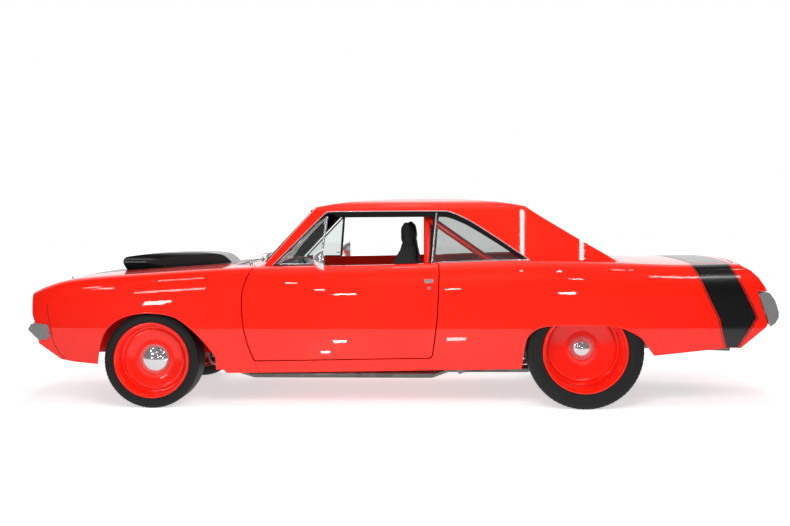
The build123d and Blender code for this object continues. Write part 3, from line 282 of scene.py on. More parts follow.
# the same enamel outside, and black perforated vinyl glued inside the roof,
# so that the cabin's upper edge reads black
lining = {"colour": "0d0d0e", "middleMm": (1450, 0, 900), "turn": 0.12}
linedRoof = redEnamel.copy()
linedRoof.name = "redEnamelWithHeadlining"
tree = linedRoof.node_tree
shader = next(n for n in tree.nodes if n.type == "BSDF_PRINCIPLED")
geometry = add(tree, "ShaderNodeNewGeometry")
fromMiddle = add(tree, "ShaderNodeVectorMath", {"operation": "SUBTRACT",
                                                1: inMetres(frontAxle + lining["middleMm"][0], 0,
                 lining["middleMm"][2])}, {0: geometry.outputs["Position"]})
unit = add(tree, "ShaderNodeVectorMath", {"operation": "NORMALIZE"}, {0: fromMiddle.outputs[0]})
facing = add(tree, "ShaderNodeVectorMath", {"operation": "DOT_PRODUCT"},
             {0: unit.outputs[0], 1: geometry.outputs["True Normal"]})
inside = add(tree, "ShaderNodeMath", {"operation": "LESS_THAN", 1: lining["turn"]},
             {0: facing.outputs["Value"]})
outer = shader.inputs["Base Color"].links[0].from_socket
tone = add(tree, "ShaderNodeMix", {"data_type": "RGBA", 7: linear(lining["colour"])},
           {"Factor": inside.outputs[0], 6: outer})
tree.links.new(tone.outputs[2], shader.inputs["Base Color"])
dull = add(tree, "ShaderNodeMath", {"operation": "SUBTRACT", 0: 1.0}, {1: inside.outputs[0]})
tree.links.new(dull.outputs[0], shader.inputs["Coat Weight"])

# satin acrylic lacquer, sprayed: near black with soft wide reflections
satin = {"colour": "0b0b0c", "roughness": 0.28, "grainMm": 0.8}
blackLacquer, tree, shader = newMaterial("blackLacquerSatin",
                                         {"Base Color": linear(satin["colour"]), "IOR": 1.5,
                                         "Coat Weight": 0.5, "Coat Roughness": 0.12})
coords = add(tree, "ShaderNodeTexCoord").outputs["Object"]
cloud = noise(tree, 9.0, 3.0, coords)
cloudRoughness(tree, shader, {"To Min": satin["roughness"] - 0.05, "To Max": satin["roughness"] + 0.06},
               cloud)
grain = noise(tree, 1000 / satin["grainMm"], 1.0, coords)
emboss(tree, shader, 0.05, 0.0002, grain)

# chromium plate over polished steel: a mirror that dulls a little in faint cloudy patches
chrome = {"colour": "e6e7ea", "roughness": 0.07, "cloudMm": 60.0}
chromePlate, tree, shader = newMaterial("chromePlatePolished",
                                        {"Base Color": linear(chrome["colour"]), "Metallic": 0.8})
coords = add(tree, "ShaderNodeTexCoord").outputs["Object"]
cloud = noise(tree, 1000 / chrome["cloudMm"], 4.0, coords)
cloudRoughness(tree, shader, {"To Min": chrome["roughness"] - 0.02, "To Max": chrome["roughness"] + 0.05},
               cloud)

# float glass, polished: clear, faintly green, mirrors at a low angle
clear = {"colour": "eef5f2", "roughness": 0.0}
floatGlass, tree, shader = newMaterial("floatGlassClear",
                                       {"Base Color": linear(clear["colour"]),
                                        "Roughness": clear["roughness"],
                                       "IOR": 1.5, "Transmission Weight": 1.0})
coords = add(tree, "ShaderNodeTexCoord").outputs["Object"]
dust = noise(tree, 30.0, 5.0, coords)
cloudRoughness(tree, shader, {"From Min": 0.5, "From Max": 0.9, "To Min": 0.0, "To Max": 0.03}, dust)

# laminated glass with a tinted layer: grey-green where the eye looks along it
laminated = {"colour": "aab3af"}
laminatedGlass = floatGlass.copy()
laminatedGlass.name = "laminatedGlassTinted"
shader = laminatedGlass.node_tree.nodes["Principled BSDF"]
shader.inputs["Base Color"].default_value = linear(laminated["colour"])

# body-tinted float glass: smoky grey, seen against a bright background
smoke = {"colour": "dfe1e0"}
smokedGlass, tree, shader = newMaterial("floatGlassSmoked",
                                        {"Base Color": linear(smoke["colour"]), "IOR": 1.5,
                                        "Transmission Weight": 1.0})
coords = add(tree, "ShaderNodeTexCoord").outputs["Object"]
dust = noise(tree, 22.0, 5.0, coords)
cloudRoughness(tree, shader, {"From Min": 0.5, "From Max": 0.9, "To Min": 0.01, "To Max": 0.05}, dust)

# pressed lamp glass with vertical flutes: clear with bands of light
flute = {"colour": "f4f6f6", "pitchMm": 9.0}
lampGlass, tree, shader = newMaterial("lampGlassFluted",
                                      {"Base Color": linear(flute["colour"]), "Roughness": 0.04, "IOR": 1.5,
                                      "Transmission Weight": 0.85})
coords = add(tree, "ShaderNodeTexCoord").outputs["Object"]
ribs = add(tree, "ShaderNodeTexWave", {"Scale": 1000 / flute["pitchMm"] / 6.283, "bands_direction": "Y"},
           {"Vector": coords})
emboss(tree, shader, 0.5, 0.002, ribs.outputs["Fac"])

# moulded acrylic lens: saturated red with a fine prism pattern inside
lens = {"colour": "b00808", "prismMm": 6.0}
redAcrylic, tree, shader = newMaterial("acrylicLensRed",
                                       {"Base Color": linear(lens["colour"]), "Roughness": 0.12, "IOR": 1.49,
                                       "Transmission Weight": 0.35, "Coat Weight": 0.8})
coords = add(tree, "ShaderNodeTexCoord").outputs["Object"]
prism = add(tree, "ShaderNodeTexChecker", {"Scale": 1000 / lens["prismMm"]}, {"Vector": coords})
emboss(tree, shader, 0.4, 0.001, prism.outputs["Fac"])

# cast and extruded aluminium, satin: pale grey with a fine drawn grain
satinAlu = {"colour": "a9abad", "grainMm": 1.2}
aluminium, tree, shader = newMaterial("aluminiumSatin", {"Base Color": linear(satinAlu["colour"]),
                                                         "Metallic": 1.0, "Roughness": 0.35})
coords = add(tree, "ShaderNodeTexCoord").outputs["Object"]
stretch = add(tree, "ShaderNodeMapping", {"Scale": (0.05, 1.0, 1.0)}, {"Vector": coords})
drawn = add(tree, "ShaderNodeTexNoise", {"Scale": 1000 / satinAlu["grainMm"], "Detail": 3.0},
            {"Vector": stretch.outputs[0]})
emboss(tree, shader, 0.12, 0.0004, drawn.outputs["Fac"])

# cast iron painted black and left in the heat: dull, with a sandy skin
castSkin = {"colour": "1b1b1c", "sandMm": 2.2}
castIron, tree, shader = newMaterial("castIronPainted", {"Base Color": linear(castSkin["colour"]),
                                                         "Roughness": 0.55})
coords = add(tree, "ShaderNodeTexCoord").outputs["Object"]
sand = noise(tree, 1000 / castSkin["sandMm"], 4.0, coords)
emboss(tree, shader, 0.35, 0.001, sand)

# aluminised steel tube, bent and welded: pale grey, brighter and darker along its length
pipeSteel = {"colour": "8d8b87", "stain": "55514c"}
exhaustSteel, tree, shader = newMaterial("steelTubeAluminised", {"Metallic": 1.0, "Roughness": 0.38})
coords = add(tree, "ShaderNodeTexCoord").outputs["Object"]
stain = noise(tree, 14.0, 6.0, coords)
mottle(tree, shader, pipeSteel["colour"], pipeSteel["stain"], stain)

# ABS, moulded with a leather grain: black with a soft dull sheen
moulded = {"colour": "141415", "grainMm": 2.5, "roughness": 0.5}
grainedPlastic, tree, shader = newMaterial("absGrained",
                                           {"Base Color": linear(moulded["colour"]),
                                            "Roughness": moulded["roughness"]})
coords = add(tree, "ShaderNodeTexCoord").outputs["Object"]
pebbles = add(tree, "ShaderNodeTexVoronoi", {"Scale": 1000 / moulded["grainMm"]}, {"Vector": coords})
emboss(tree, shader, 0.25, 0.0006, pebbles.outputs["Distance"])

# coated vinyl over foam, sewn: black, slightly shiny, with a pebbled skin
vinyl = {"colour": "121213", "pebbleMm": 1.8, "creaseMm": 90.0}
seatVinyl, tree, shader = newMaterial("vinylSewn", {"Base Color": linear(vinyl["colour"]), "Roughness": 0.42,
                                                    "Sheen Weight": 0.1})
coords = add(tree, "ShaderNodeTexCoord").outputs["Object"]
pebbles = add(tree, "ShaderNodeTexVoronoi", {"Scale": 1000 / vinyl["pebbleMm"]}, {"Vector": coords})
creases = add(tree, "ShaderNodeTexNoise", {"Scale": 1000 / vinyl["creaseMm"], "Detail": 3.0,
                                           "Distortion": 0.6},
              {"Vector": coords})
fine = add(tree, "ShaderNodeBump", {"Strength": 0.25, "Distance": 0.0004},
           {"Height": pebbles.outputs["Distance"]})
bump = add(tree, "ShaderNodeBump", {"Strength": 0.3, "Distance": 0.004},
           {"Height": creases.outputs["Fac"], "Normal": fine.outputs[0]})
tree.links.new(bump.outputs[0], shader.inputs["Normal"])

# vulcanised rubber from a steel mould: matt black, a little grey and brown with age
rubber = {"colour": "0e0e0f", "bloom": "1b1a19", "skinMm": 3.0}
tyreRubber, tree, shader = newMaterial("rubberMoulded", {"Roughness": 0.55, "Specular IOR Level": 0.4})
coords = add(tree, "ShaderNodeTexCoord").outputs["Object"]
bloom = noise(tree, 12.0, 5.0, coords)
mottle(tree, shader, rubber["colour"], rubber["bloom"], bloom)
skin = noise(tree, 1000 / rubber["skinMm"], 3.0, coords)
emboss(tree, shader, 0.1, 0.0005, skin)
print("stage: materials made")

# body trim
# butyl rubber seal, extruded: dead black lines at each window edge; the same black strips are also laid along the
# shut lines between fixed panels as painted shade in the gaps
sealAndGapShade = {"colour": "070708", "roughness": 0.7, "grainMm": 2.0}
blackSealAndGapShade, tree, shader = newMaterial("rubberSealAndGapShade",
                                      {"Base Color": linear(sealAndGapShade["colour"]), "Roughness": sealAndGapShade["roughness"]})
coords = add(tree, "ShaderNodeTexCoord").outputs["Object"]
grain = noise(tree, 1000 / sealAndGapShade["grainMm"], 2.0, coords)
emboss(tree, shader, 0.15, 0.0004, grain)

sides = (("left", -1), ("right", 1))
# section of the black strips laid as painted shade along the shut lines
gapShadeSection = [(-1.9, -0.4), (-1.6, 0.3), (1.6, 0.3), (1.9, -0.4)]
halfRound = [(-1, 0), (-0.87, 0.5), (-0.5, 0.87), (0, 1), (0.5, 0.87), (0.87, 0.5), (1, 0)]


def sized(section, across, out, sink=0.5):  # a unit section at its real width and height, its base just in the panel
    return [(u * across / 2, v * out - sink) for u, v in section]


def sideLine(skin, points, side, step=30.0):  # points (x, z) laid on the side of the car from outside
    line = []
    for (x0, z0), (x1, z1) in zip(points, points[1:]):
        count = max(1, round(math.hypot(x1 - x0, z1 - z0) / step))
        for i in range(count + (points[-1] == (x1, z1))):
            t = min(1.0, i / count)
            met = land(skin, (x0 + (x1 - x0) * t, side * outsideMm, z0 + (z1 - z0) * t), (0, -side, 0))
            if met:
                line.append(met)
    return line


def smoothed(points, step=20.0):  # a curve through (x, z) points, as evenly spaced points
    out, n = [], len(points)
    for i in range(n - 1):
        p0, p1, p2, p3 = (Vector(points[max(0, min(n - 1, i + k))]) for k in (-1, 0, 1, 2))
        count = max(1, round((p2 - p1).length / step))
        for j in range(count):
            t = j / count
            out.append(tuple(0.5 * (2 * p1 + (p2 - p0) * t + (2 * p0 - 5 * p1 + 4 * p2 - p3) * t * t
                                    + (3 * p1 - p0 - 3 * p2 + p3) * t ** 3)))
    return out + [tuple(points[-1])]


# black tail band with a pin line at each edge, painted over the enamel
tail = {
    "front": [(677, 926), (690, 902), (727, 833), (787, 703), (847, 585), (867, 489), (892, 399)],
    "rear": [(921, 926), (935, 896), (1011, 748), (1080, 597), (1015, 488), (966, 404)],
    "pinGapMm": 9.0, "pinWidthMm": 5.0, "proudMm": 0.8, "lidFront": 706, "lidRear": 936,
}
pinProfile = [(-tail["pinWidthMm"] / 2, -seatedMm), (-tail["pinWidthMm"] / 2, tail["proudMm"]),
              (tail["pinWidthMm"] / 2, tail["proudMm"]), (tail["pinWidthMm"] / 2, -seatedMm)]


def alongEdge(edge, z):  # x on one edge of the band at a height
    for (x0, z0), (x1, z1) in zip(edge, edge[1:]):
        if z >= z1:
            return x0 + (x1 - x0) * (z0 - min(z, z0)) / (z0 - z1)
    return edge[-1][0]


def gridPiece(name, rows, material, body):
    columns = len(rows[0])
    points = [p for row in rows for p in row]
    faces = [(r * columns + c, r * columns + c + 1, (r + 1) * columns + c + 1, (r + 1) * columns + c)
             for r in range(len(rows) - 1) for c in range(columns - 1)]
    return meshPiece(name, points, faces, material, body, 60)


def shoulderPoint(skin, x, turn, side):  # a point of the flank or over its shoulder, seen from a line inside the car
    way = Vector((0, -side * math.cos(turn), -math.sin(turn)))
    return land(skin, (x, side * 600 - 700 * way.y, 600 - 700 * way.z), way)


def edgeX(skin, edge, height, shift, turn,
          side):  # settles the place on an edge of the band, whose x depends on its height
    x = rearAxle + alongEdge(edge, height) + shift
    return x, (fromSide(skin, x, height, side) if turn is None else shoulderPoint(skin, x, turn, side))


for label, side in sides:
    skin = skinOf(f"quarter_{label}")
    rows, pins = [], ([], [])
    rungs = [(402 + 12 * i, None) for i in range(25)] + [(None,
                                                          math.radians(20.5 + 1.5 * i)) for i in range(38)]
    for level, turn in rungs:
        middle = None if turn is None else shoulderPoint(skin, fromRear(815)[0], turn, side)
        if turn is not None and (middle is None or abs(middle[0].y) < 720):
            continue
        height = level or middle[0].z
        front, rear = (edgeX(skin, tail[k], height, 0, turn, side)[0] for k in ("front", "rear"))
        row = []
        for i in range(17):
            x = front + (rear - front) * i / 16
            met = fromSide(skin, x, height, side) if turn is None else shoulderPoint(skin, x, turn, side)
            if met:
                row.append(met[0] + met[1] * tail["proudMm"])
        if len(row) == 17:
            rows.append(row)
        for pin, key, shift in zip(pins, ("front", "rear"), (-tail["pinGapMm"], tail["pinGapMm"])):
            met = edgeX(skin, tail[key], height, shift, turn, side)[1]
            if met:
                pin.append(met)
    gridPiece(f"tailBand_{label}", rows, blackLacquer, "body")
    for end, pin in zip(("front", "rear"), pins):
        sweepPiece(f"pinLine_{end}_{label}", pin, pinProfile, blackLacquer, "body")

lid = skinOf("trunk_lid")
low, high = nodeBox("trunk_lid")
rows, lidLines = [], ([], [])
for i in range(73):
    across = -(high.y - 4) + 2 * (high.y - 4) * i / 72
    row = [fromAbove(lid, fromRear(tail["lidFront"] + (tail["lidRear"] - tail["lidFront"]) * j / 16)[0],
                     across)
           for j in range(17)]
    if all(row):
        rows.append([p + n * tail["proudMm"] for p, n in row])
    for line, x in zip(lidLines, (tail["lidFront"] - tail["pinGapMm"], tail["lidRear"] + tail["pinGapMm"])):
        met = fromAbove(lid, fromRear(x)[0], across)
        if met:
            line.append(met)
gridPiece("tailBand_lid", rows, blackLacquer, "trunk_lid")
for end, line in zip(("front", "rear"), lidLines):
    sweepPiece(f"pinLine_{end}_lid", line, pinProfile, blackLacquer, "trunk_lid")
print("stage: tail band laid on")

# black centre of the hood and cowl
centre = {"halfWidthMm": 340, "frontMm": -735, "rearMm": 470, "cowlRearMm": 600}
hoodSkin, cowlSkin = skinOf("hood"), skinOf("cowl")
for name, skin, body, start, end, half in (("hoodBand", hoodSkin, "hood", centre["frontMm"], centre["rearMm"],
                                            centre["halfWidthMm"]),
                                           ("cowlBand", cowlSkin, "body", 500, centre["cowlRearMm"], 560)):
    rows = []
    for i in range(49):
        across = -half + 2 * half * i / 48
        row = [land(skin, (fromFront(start + (end - start) * j / 48)[0], across, outsideMm),
                    (0, 0, -1)) for j in range(49)]
        if all(row):
            rows.append([p + n * 0.8 for p, n in row])
    gridPiece(name, rows, blackLacquer, body)

# shut lines between fixed panels: black strips laid on as painted shade, the dark line of the gap
noseGapShade = [(-690, 682), (-685, 605), (-670, 529), (-655, 429), (-622, 355), (-590, 325)]
for label, side in sides:
    fender, quarter = skinOf(f"fender_{label}"), skinOf(f"quarter_{label}")
    line = sideLine(fender, [fromFront(*p) for p in smoothed(noseGapShade)], side)
    sweepPiece(f"noseGapShade_{label}", line, gapShadeSection, blackSealAndGapShade, "body")
    both = skinOf(f"fender_{label}", f"quarter_{label}")
    line = sideLine(both, [fromFront(679, 304), fromFront(707, 236)], side, 8)
    sweepPiece(f"sillGapShade_{label}", line, gapShadeSection, blackSealAndGapShade, "body")
    # rolled lip of each wheel arch
    for end, fenderSkin, origin, arch in (
            ("front", fender, frontAxle, [(-362, 335), (-347, 398), (-305, 501), (-225, 579), (-112, 620),
                                          (21, 629), (164, 603),
                                          (286, 517), (350, 456), (400, 384), (449, 304)]),
            ("rear", quarter, rearAxle, [(-401, 372), (-376, 472), (-316, 528), (-233, 549), (-80, 552),
                                         (61, 552),
                                         (215, 539), (275, 514), (348, 471), (397, 409)])):
        line = sideLine(fenderSkin, [(origin + x, z) for x, z in smoothed(arch)], side, 24)
        sweepPiece(f"archLip_{end}_{label}", line, sized(halfRound, 9, 2.2), redEnamel, "body")
print("stage: panel lines drawn")

# round each side window: a black rubber channel with a thin bright drip moulding along its outer edge
trim = {"railWidthMm": 8, "railHeightMm": 7, "channelMm": 5, "screenWidthMm": 20, "beltWidthMm": 8}
outerLine = [(786, 928), (1122, 1270), (1140, 1278), (1165, 1281), (1500, 1282), (1880, 1282), (1952, 1276),
             (2017, 1251), (2115, 1199),
             (2285, 1088), (2471, 961)]
innerLine = [(799, 928), (1131, 1260), (1146, 1250), (1168, 1243), (1500, 1243), (1880, 1243), (1946, 1236),
             (2008, 1214), (2103, 1168),
             (2270, 1066), (2440, 957)]


def slopeHalf(z, inset=0.0):  # half width of the cabin side at a height
    return 724 - 134 * (z - 935) / 353 - inset


def onSlope(x, z, side, proud=0.0):  # a point on the flat slope of the cabin side, and the way out
    return Vector((x, side * (slopeHalf(z) + proud), z)), Vector((0, side * 0.935, 0.355))


def slopeBand(name, outer, inner, side, proud, thick, material, body):  # a flat band between two lines of the slope
    points = []
    for (x0, z0), (x1, z1) in zip(outer, inner):
        for x, z, out in ((x0, z0, proud), (x1, z1, proud), (x1, z1, proud - thick), (x0, z0, proud - thick)):
            points.append(onSlope(fromFront(x)[0], z, side, out)[0])
    faces = [(4 * i + j, 4 * i + (j + 1) % 4, 4 * i + 4 + (j + 1) % 4,
              4 * i + 4 + j) for i in range(len(outer) - 1) for j in range(4)]
    last = 4 * len(outer) - 4
    made = meshPiece(name, points, faces + [(3, 2, 1, 0), (last, last + 1, last + 2, last + 3)], material,
                     body, 30)
    tidyNormals(made)
    return made


for label, side in sides:
    outer, inner = smoothed(outerLine, 14), []
    for x, z in outer:  # the nearest place on the inner line
        spots = [Vector(p) for p in smoothed(innerLine, 6)]
        inner.append(tuple(min(spots, key=lambda p: (p - Vector((x, z))).length_squared)))
    slopeBand(f"windowChannel_{label}", outer, inner, side, 1.5, trim["channelMm"], blackSealAndGapShade, "body")
    rail = [onSlope(fromFront(x)[0], z, side, 2.0) for x, z in outer]
    sweepPiece(f"dripRail_{label}", rail, sized(halfRound, trim["railWidthMm"], trim["railHeightMm"], 2),
               chromePlate, "body")
    for name, panelName, body, span, height, material in (
            ("doorBelt", f"door_{label}", f"door_{label}", (800, 1874), 3, blackSealAndGapShade),
            ("quarterBelt", f"quarter_{label}", "body", (1900, 2470), 6, chromePlate)):
        skin, line = skinOf(panelName), []
        for i in range(41):
            x = fromFront(span[0] + (span[1] - span[0]) * i / 40)[0]
            met = fromAbove(skin, x, side * 740)
            if met:
                line.append((met[0], Vector((0, 0, 1))))
        if len(line) > 3:
            sweepPiece(f"{name}_{label}", line, sized(halfRound, trim["beltWidthMm"], height), material, body)


def screenTrim(name, node, way, edge, width, material):  # edge points (y, z) found on the glass from outside
    skin, line = skinOf(node), []
    for (y0, z0), (y1, z1) in zip(edge, edge[1:]):
        count = max(1, round(math.hypot(y1 - y0, z1 - z0) / 30))
        for i in range(count):
            t = i / count
            met = land(skin, (-way * 3000, y0 + (y1 - y0) * t, z0 + (z1 - z0) * t), (way, 0, 0))
            if met:
                line.append((met[0] + met[1] * 5, met[1]))
    sweepPiece(name, line, sized(halfRound, width, 10, 2), material, "body")


screenTrim("windshieldTrim", "windshield", 1, [(-slopeHalf(945, 54), 945), (-slopeHalf(1282, 54), 1282),
                                               (slopeHalf(1282, 54), 1282),
           (slopeHalf(945, 54), 945)], trim["screenWidthMm"], blackSealAndGapShade)
screenTrim("rearWindowTrim", "rear_window", -1, [(-slopeHalf(968, 127), 968), (-slopeHalf(1254, 127), 1254),
           (slopeHalf(1254, 127), 1254), (slopeHalf(968, 127), 968), (-slopeHalf(968, 127), 968)],
           trim["screenWidthMm"], chromePlate)
print("stage: window trim fitted")
# wheels and tyres
# pressed steel wheels sprayed the body colour, with a domed chrome cap; bias-look tyres with a plain sidewall
wheelSets = {
    "front": {"axle": frontAxle, "radius": frontTyre, "rim": 248.5, "face": 840, "width": 222, "dish": 88,
              "cap": 97, "capHeight": 42,
              "capLip": 104},
    "rear": {"axle": rearAxle, "radius": rearTyre, "rim": 274, "face": 845, "width": 288, "dish": 205,
             "cap": 78.5, "capHeight": 36,
             "capLip": 84},
}
tread = {"grooves": 5, "grooveWidthMm": 7, "grooveDepthMm": 6, "sipes": 72, "sipeDepthMm": 2.5}

for end, size in wheelSets.items():
    for label, side in sides:
        middle = (size["axle"], 0, size["radius"])
        face, rim, width, dish, top = size["face"], size["rim"], size["width"], size["dish"], size["radius"]
        step = rim - 47
        body = f"{end}_wheel_{label}"
        # barrel with rolled flange, safety hump and drop centre
        barrel = [(rim - 6, face), (rim - 1, face - 1.5), (rim, face - 5), (rim - 1.5, face - 10),
                  (rim - 9, face - 13),
                  (rim - 14, face - 16), (rim - 17, face - 24), (rim - 17.5, face - 36),
                  (rim - 20, face - 42), (rim - 21, face - 60),
                  (rim - 21, face - width + 60), (rim - 16, face - width + 16), (rim - 1, face - width + 8),
                  (rim - 2, face - width + 4),
                  (rim - 8, face - width + 4), (rim - 24, face - width + 16), (rim - 29, face - width + 60),
                  (rim - 29, face - 60),
                  (rim - 27, face - 44), (rim - 24, face - 38), (rim - 23.5, face - 26),
                  (rim - 20, face - 15), (rim - 12, face - 5),
                  (rim - 9, face - 1), (rim - 6, face)]
        turnedPiece(f"wheelBarrel_{end}_{label}", barrel, middle, side, redEnamel, body, 128)
        # disc: outer shoulder, rolled step, slightly dished centre, hub swelling
        plane = face - dish
        disc = [(rim - 26, plane - 8), (rim - 26, plane + 6), (rim - 30, plane + 9), (step + 12, plane + 9),
                (step + 6, plane + 7),
                (step + 3, plane + 1), (step, plane - 1), (step - 3, plane + 1), (step - 8, plane + 3),
                (step - 20, plane + 1),
                (size["cap"] + 40, plane - 8), (size["cap"] + 22, plane - 10), (size["cap"] + 12, plane - 8),
                (size["cap"] + 4, plane - 9), (size["cap"] - 6, plane - 14), (size["cap"] - 6, plane - 20),
                (step, plane - 12),
                (rim - 26, plane - 8)]
        turnedPiece(f"wheelDisc_{end}_{label}", disc, middle, side, redEnamel, body, 128)
        cap = [(size["cap"] - 3, plane - 14), (size["cap"] + 2, plane - 9), (size["cap"] + 2, plane - 3),
               (size["cap"] - 1, plane)]
        crest, widest = size["capHeight"] - 6, math.radians(58)
        cap += [(size["cap"] * math.sin(a) / math.sin(widest),
                 plane + crest * (math.cos(a) - math.cos(widest)) / (1 - math.cos(widest)))
                for a in (widest * (1 - i / 12) for i in range(1, 12))] + [(0.01, plane + crest)]
        turnedPiece(f"hubCap_{end}_{label}", cap, middle, side, chromePlate, body, 96, 30)
        nuts = bmesh.new()
        valve = (middle[0] + (step + 30) * math.cos(1.1), middle[2] + (step + 30) * math.sin(1.1))
        addRod(nuts, (valve[0], side * (plane + 6), valve[1]),
               (valve[0] + 3, side * (plane + 34), valve[1] + 5), 4.5, 16, 3.6)
        mesh = bpy.data.meshes.new(f"wheelValve_{end}_{label}")
        nuts.to_mesh(mesh)
        nuts.free()
        obj = bpy.data.objects.new(mesh.name, mesh)
        bpy.context.scene.collection.objects.link(obj)
        finishPiece(obj, chromePlate, body)
        # tyre: bead, sidewall bulge with a rim guard and fine ribs, shoulder, grooved tread
        tall = top - rim
        wall = [(rim + 0.6, face - 9), (rim + 3, face - 4), (rim + 8, face - 2.2), (rim + 12, face - 2.2),
                (rim + 14, face - 3.4),
                (rim + tall * 0.30, face - 0.8), (rim + tall * 0.45, face), (rim + tall * 0.6, face - 0.6),
                (rim + tall * 0.61, face - 1.6),
                (rim + tall * 0.64, face - 1.6), (rim + tall * 0.65, face - 0.9), (top - 17, face - 4.6),
                (top - 12, face - 5.6),
                (top - 6.5, face - 8.5), (top - 2.4, face - 14), (top - 0.4, face - 21)]
        crown, flat = [], width - 44
        for g in range(tread["grooves"]):
            at = 22 + flat * (g + 0.5) / tread["grooves"]
            half, deep = tread["grooveWidthMm"] / 2, tread["grooveDepthMm"]
            crown += [(top - 0.2, face - at + half + 1), (top - deep, face - at + half - 1),
                      (top - deep, face - at - half + 1),
                      (top - 0.2, face - at - half - 1)]
        inner = [(r, 2 * face - width - y) for r, y in reversed(wall)]
        profile = wall + crown + inner + [(rim + 0.6, face - 30)] + [(rim + 0.6, face - 9)]
        count = tread["sipes"] * 4
        points, faces, ring = [], [], len(profile)
        first, last = len(wall) - 2, len(wall) + len(crown) + 2
        for i in range(count):
            turn = 2 * math.pi * i / count
            for j, (r, out) in enumerate(profile):
                lag = turn
                if first <= j < last:
                    r -= tread["sipeDepthMm"] if i % 4 == 0 and (j - first) % 4 != 2 else 0
                    lag += 0.012 * math.sin(j * 0.9)
                points.append((middle[0] + r * math.cos(lag), side * out, middle[2] + r * math.sin(lag)))
        for i in range(count):
            a, b = i * ring, (i + 1) % count * ring
            faces += [(a + j, a + j + 1, b + j + 1, b + j) for j in range(ring - 1)]
        made = meshPiece(f"tyre_{end}_{label}", points, faces, tyreRubber, body, 32)
        tidyNormals(made)
        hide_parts(f"{end}_tyre_{label}")
        for name in ("wheelBarrel", "wheelDisc", "hubCap"):
            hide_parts(f"{end}_wheel_{label}")
print("stage: wheels and tyres turned")

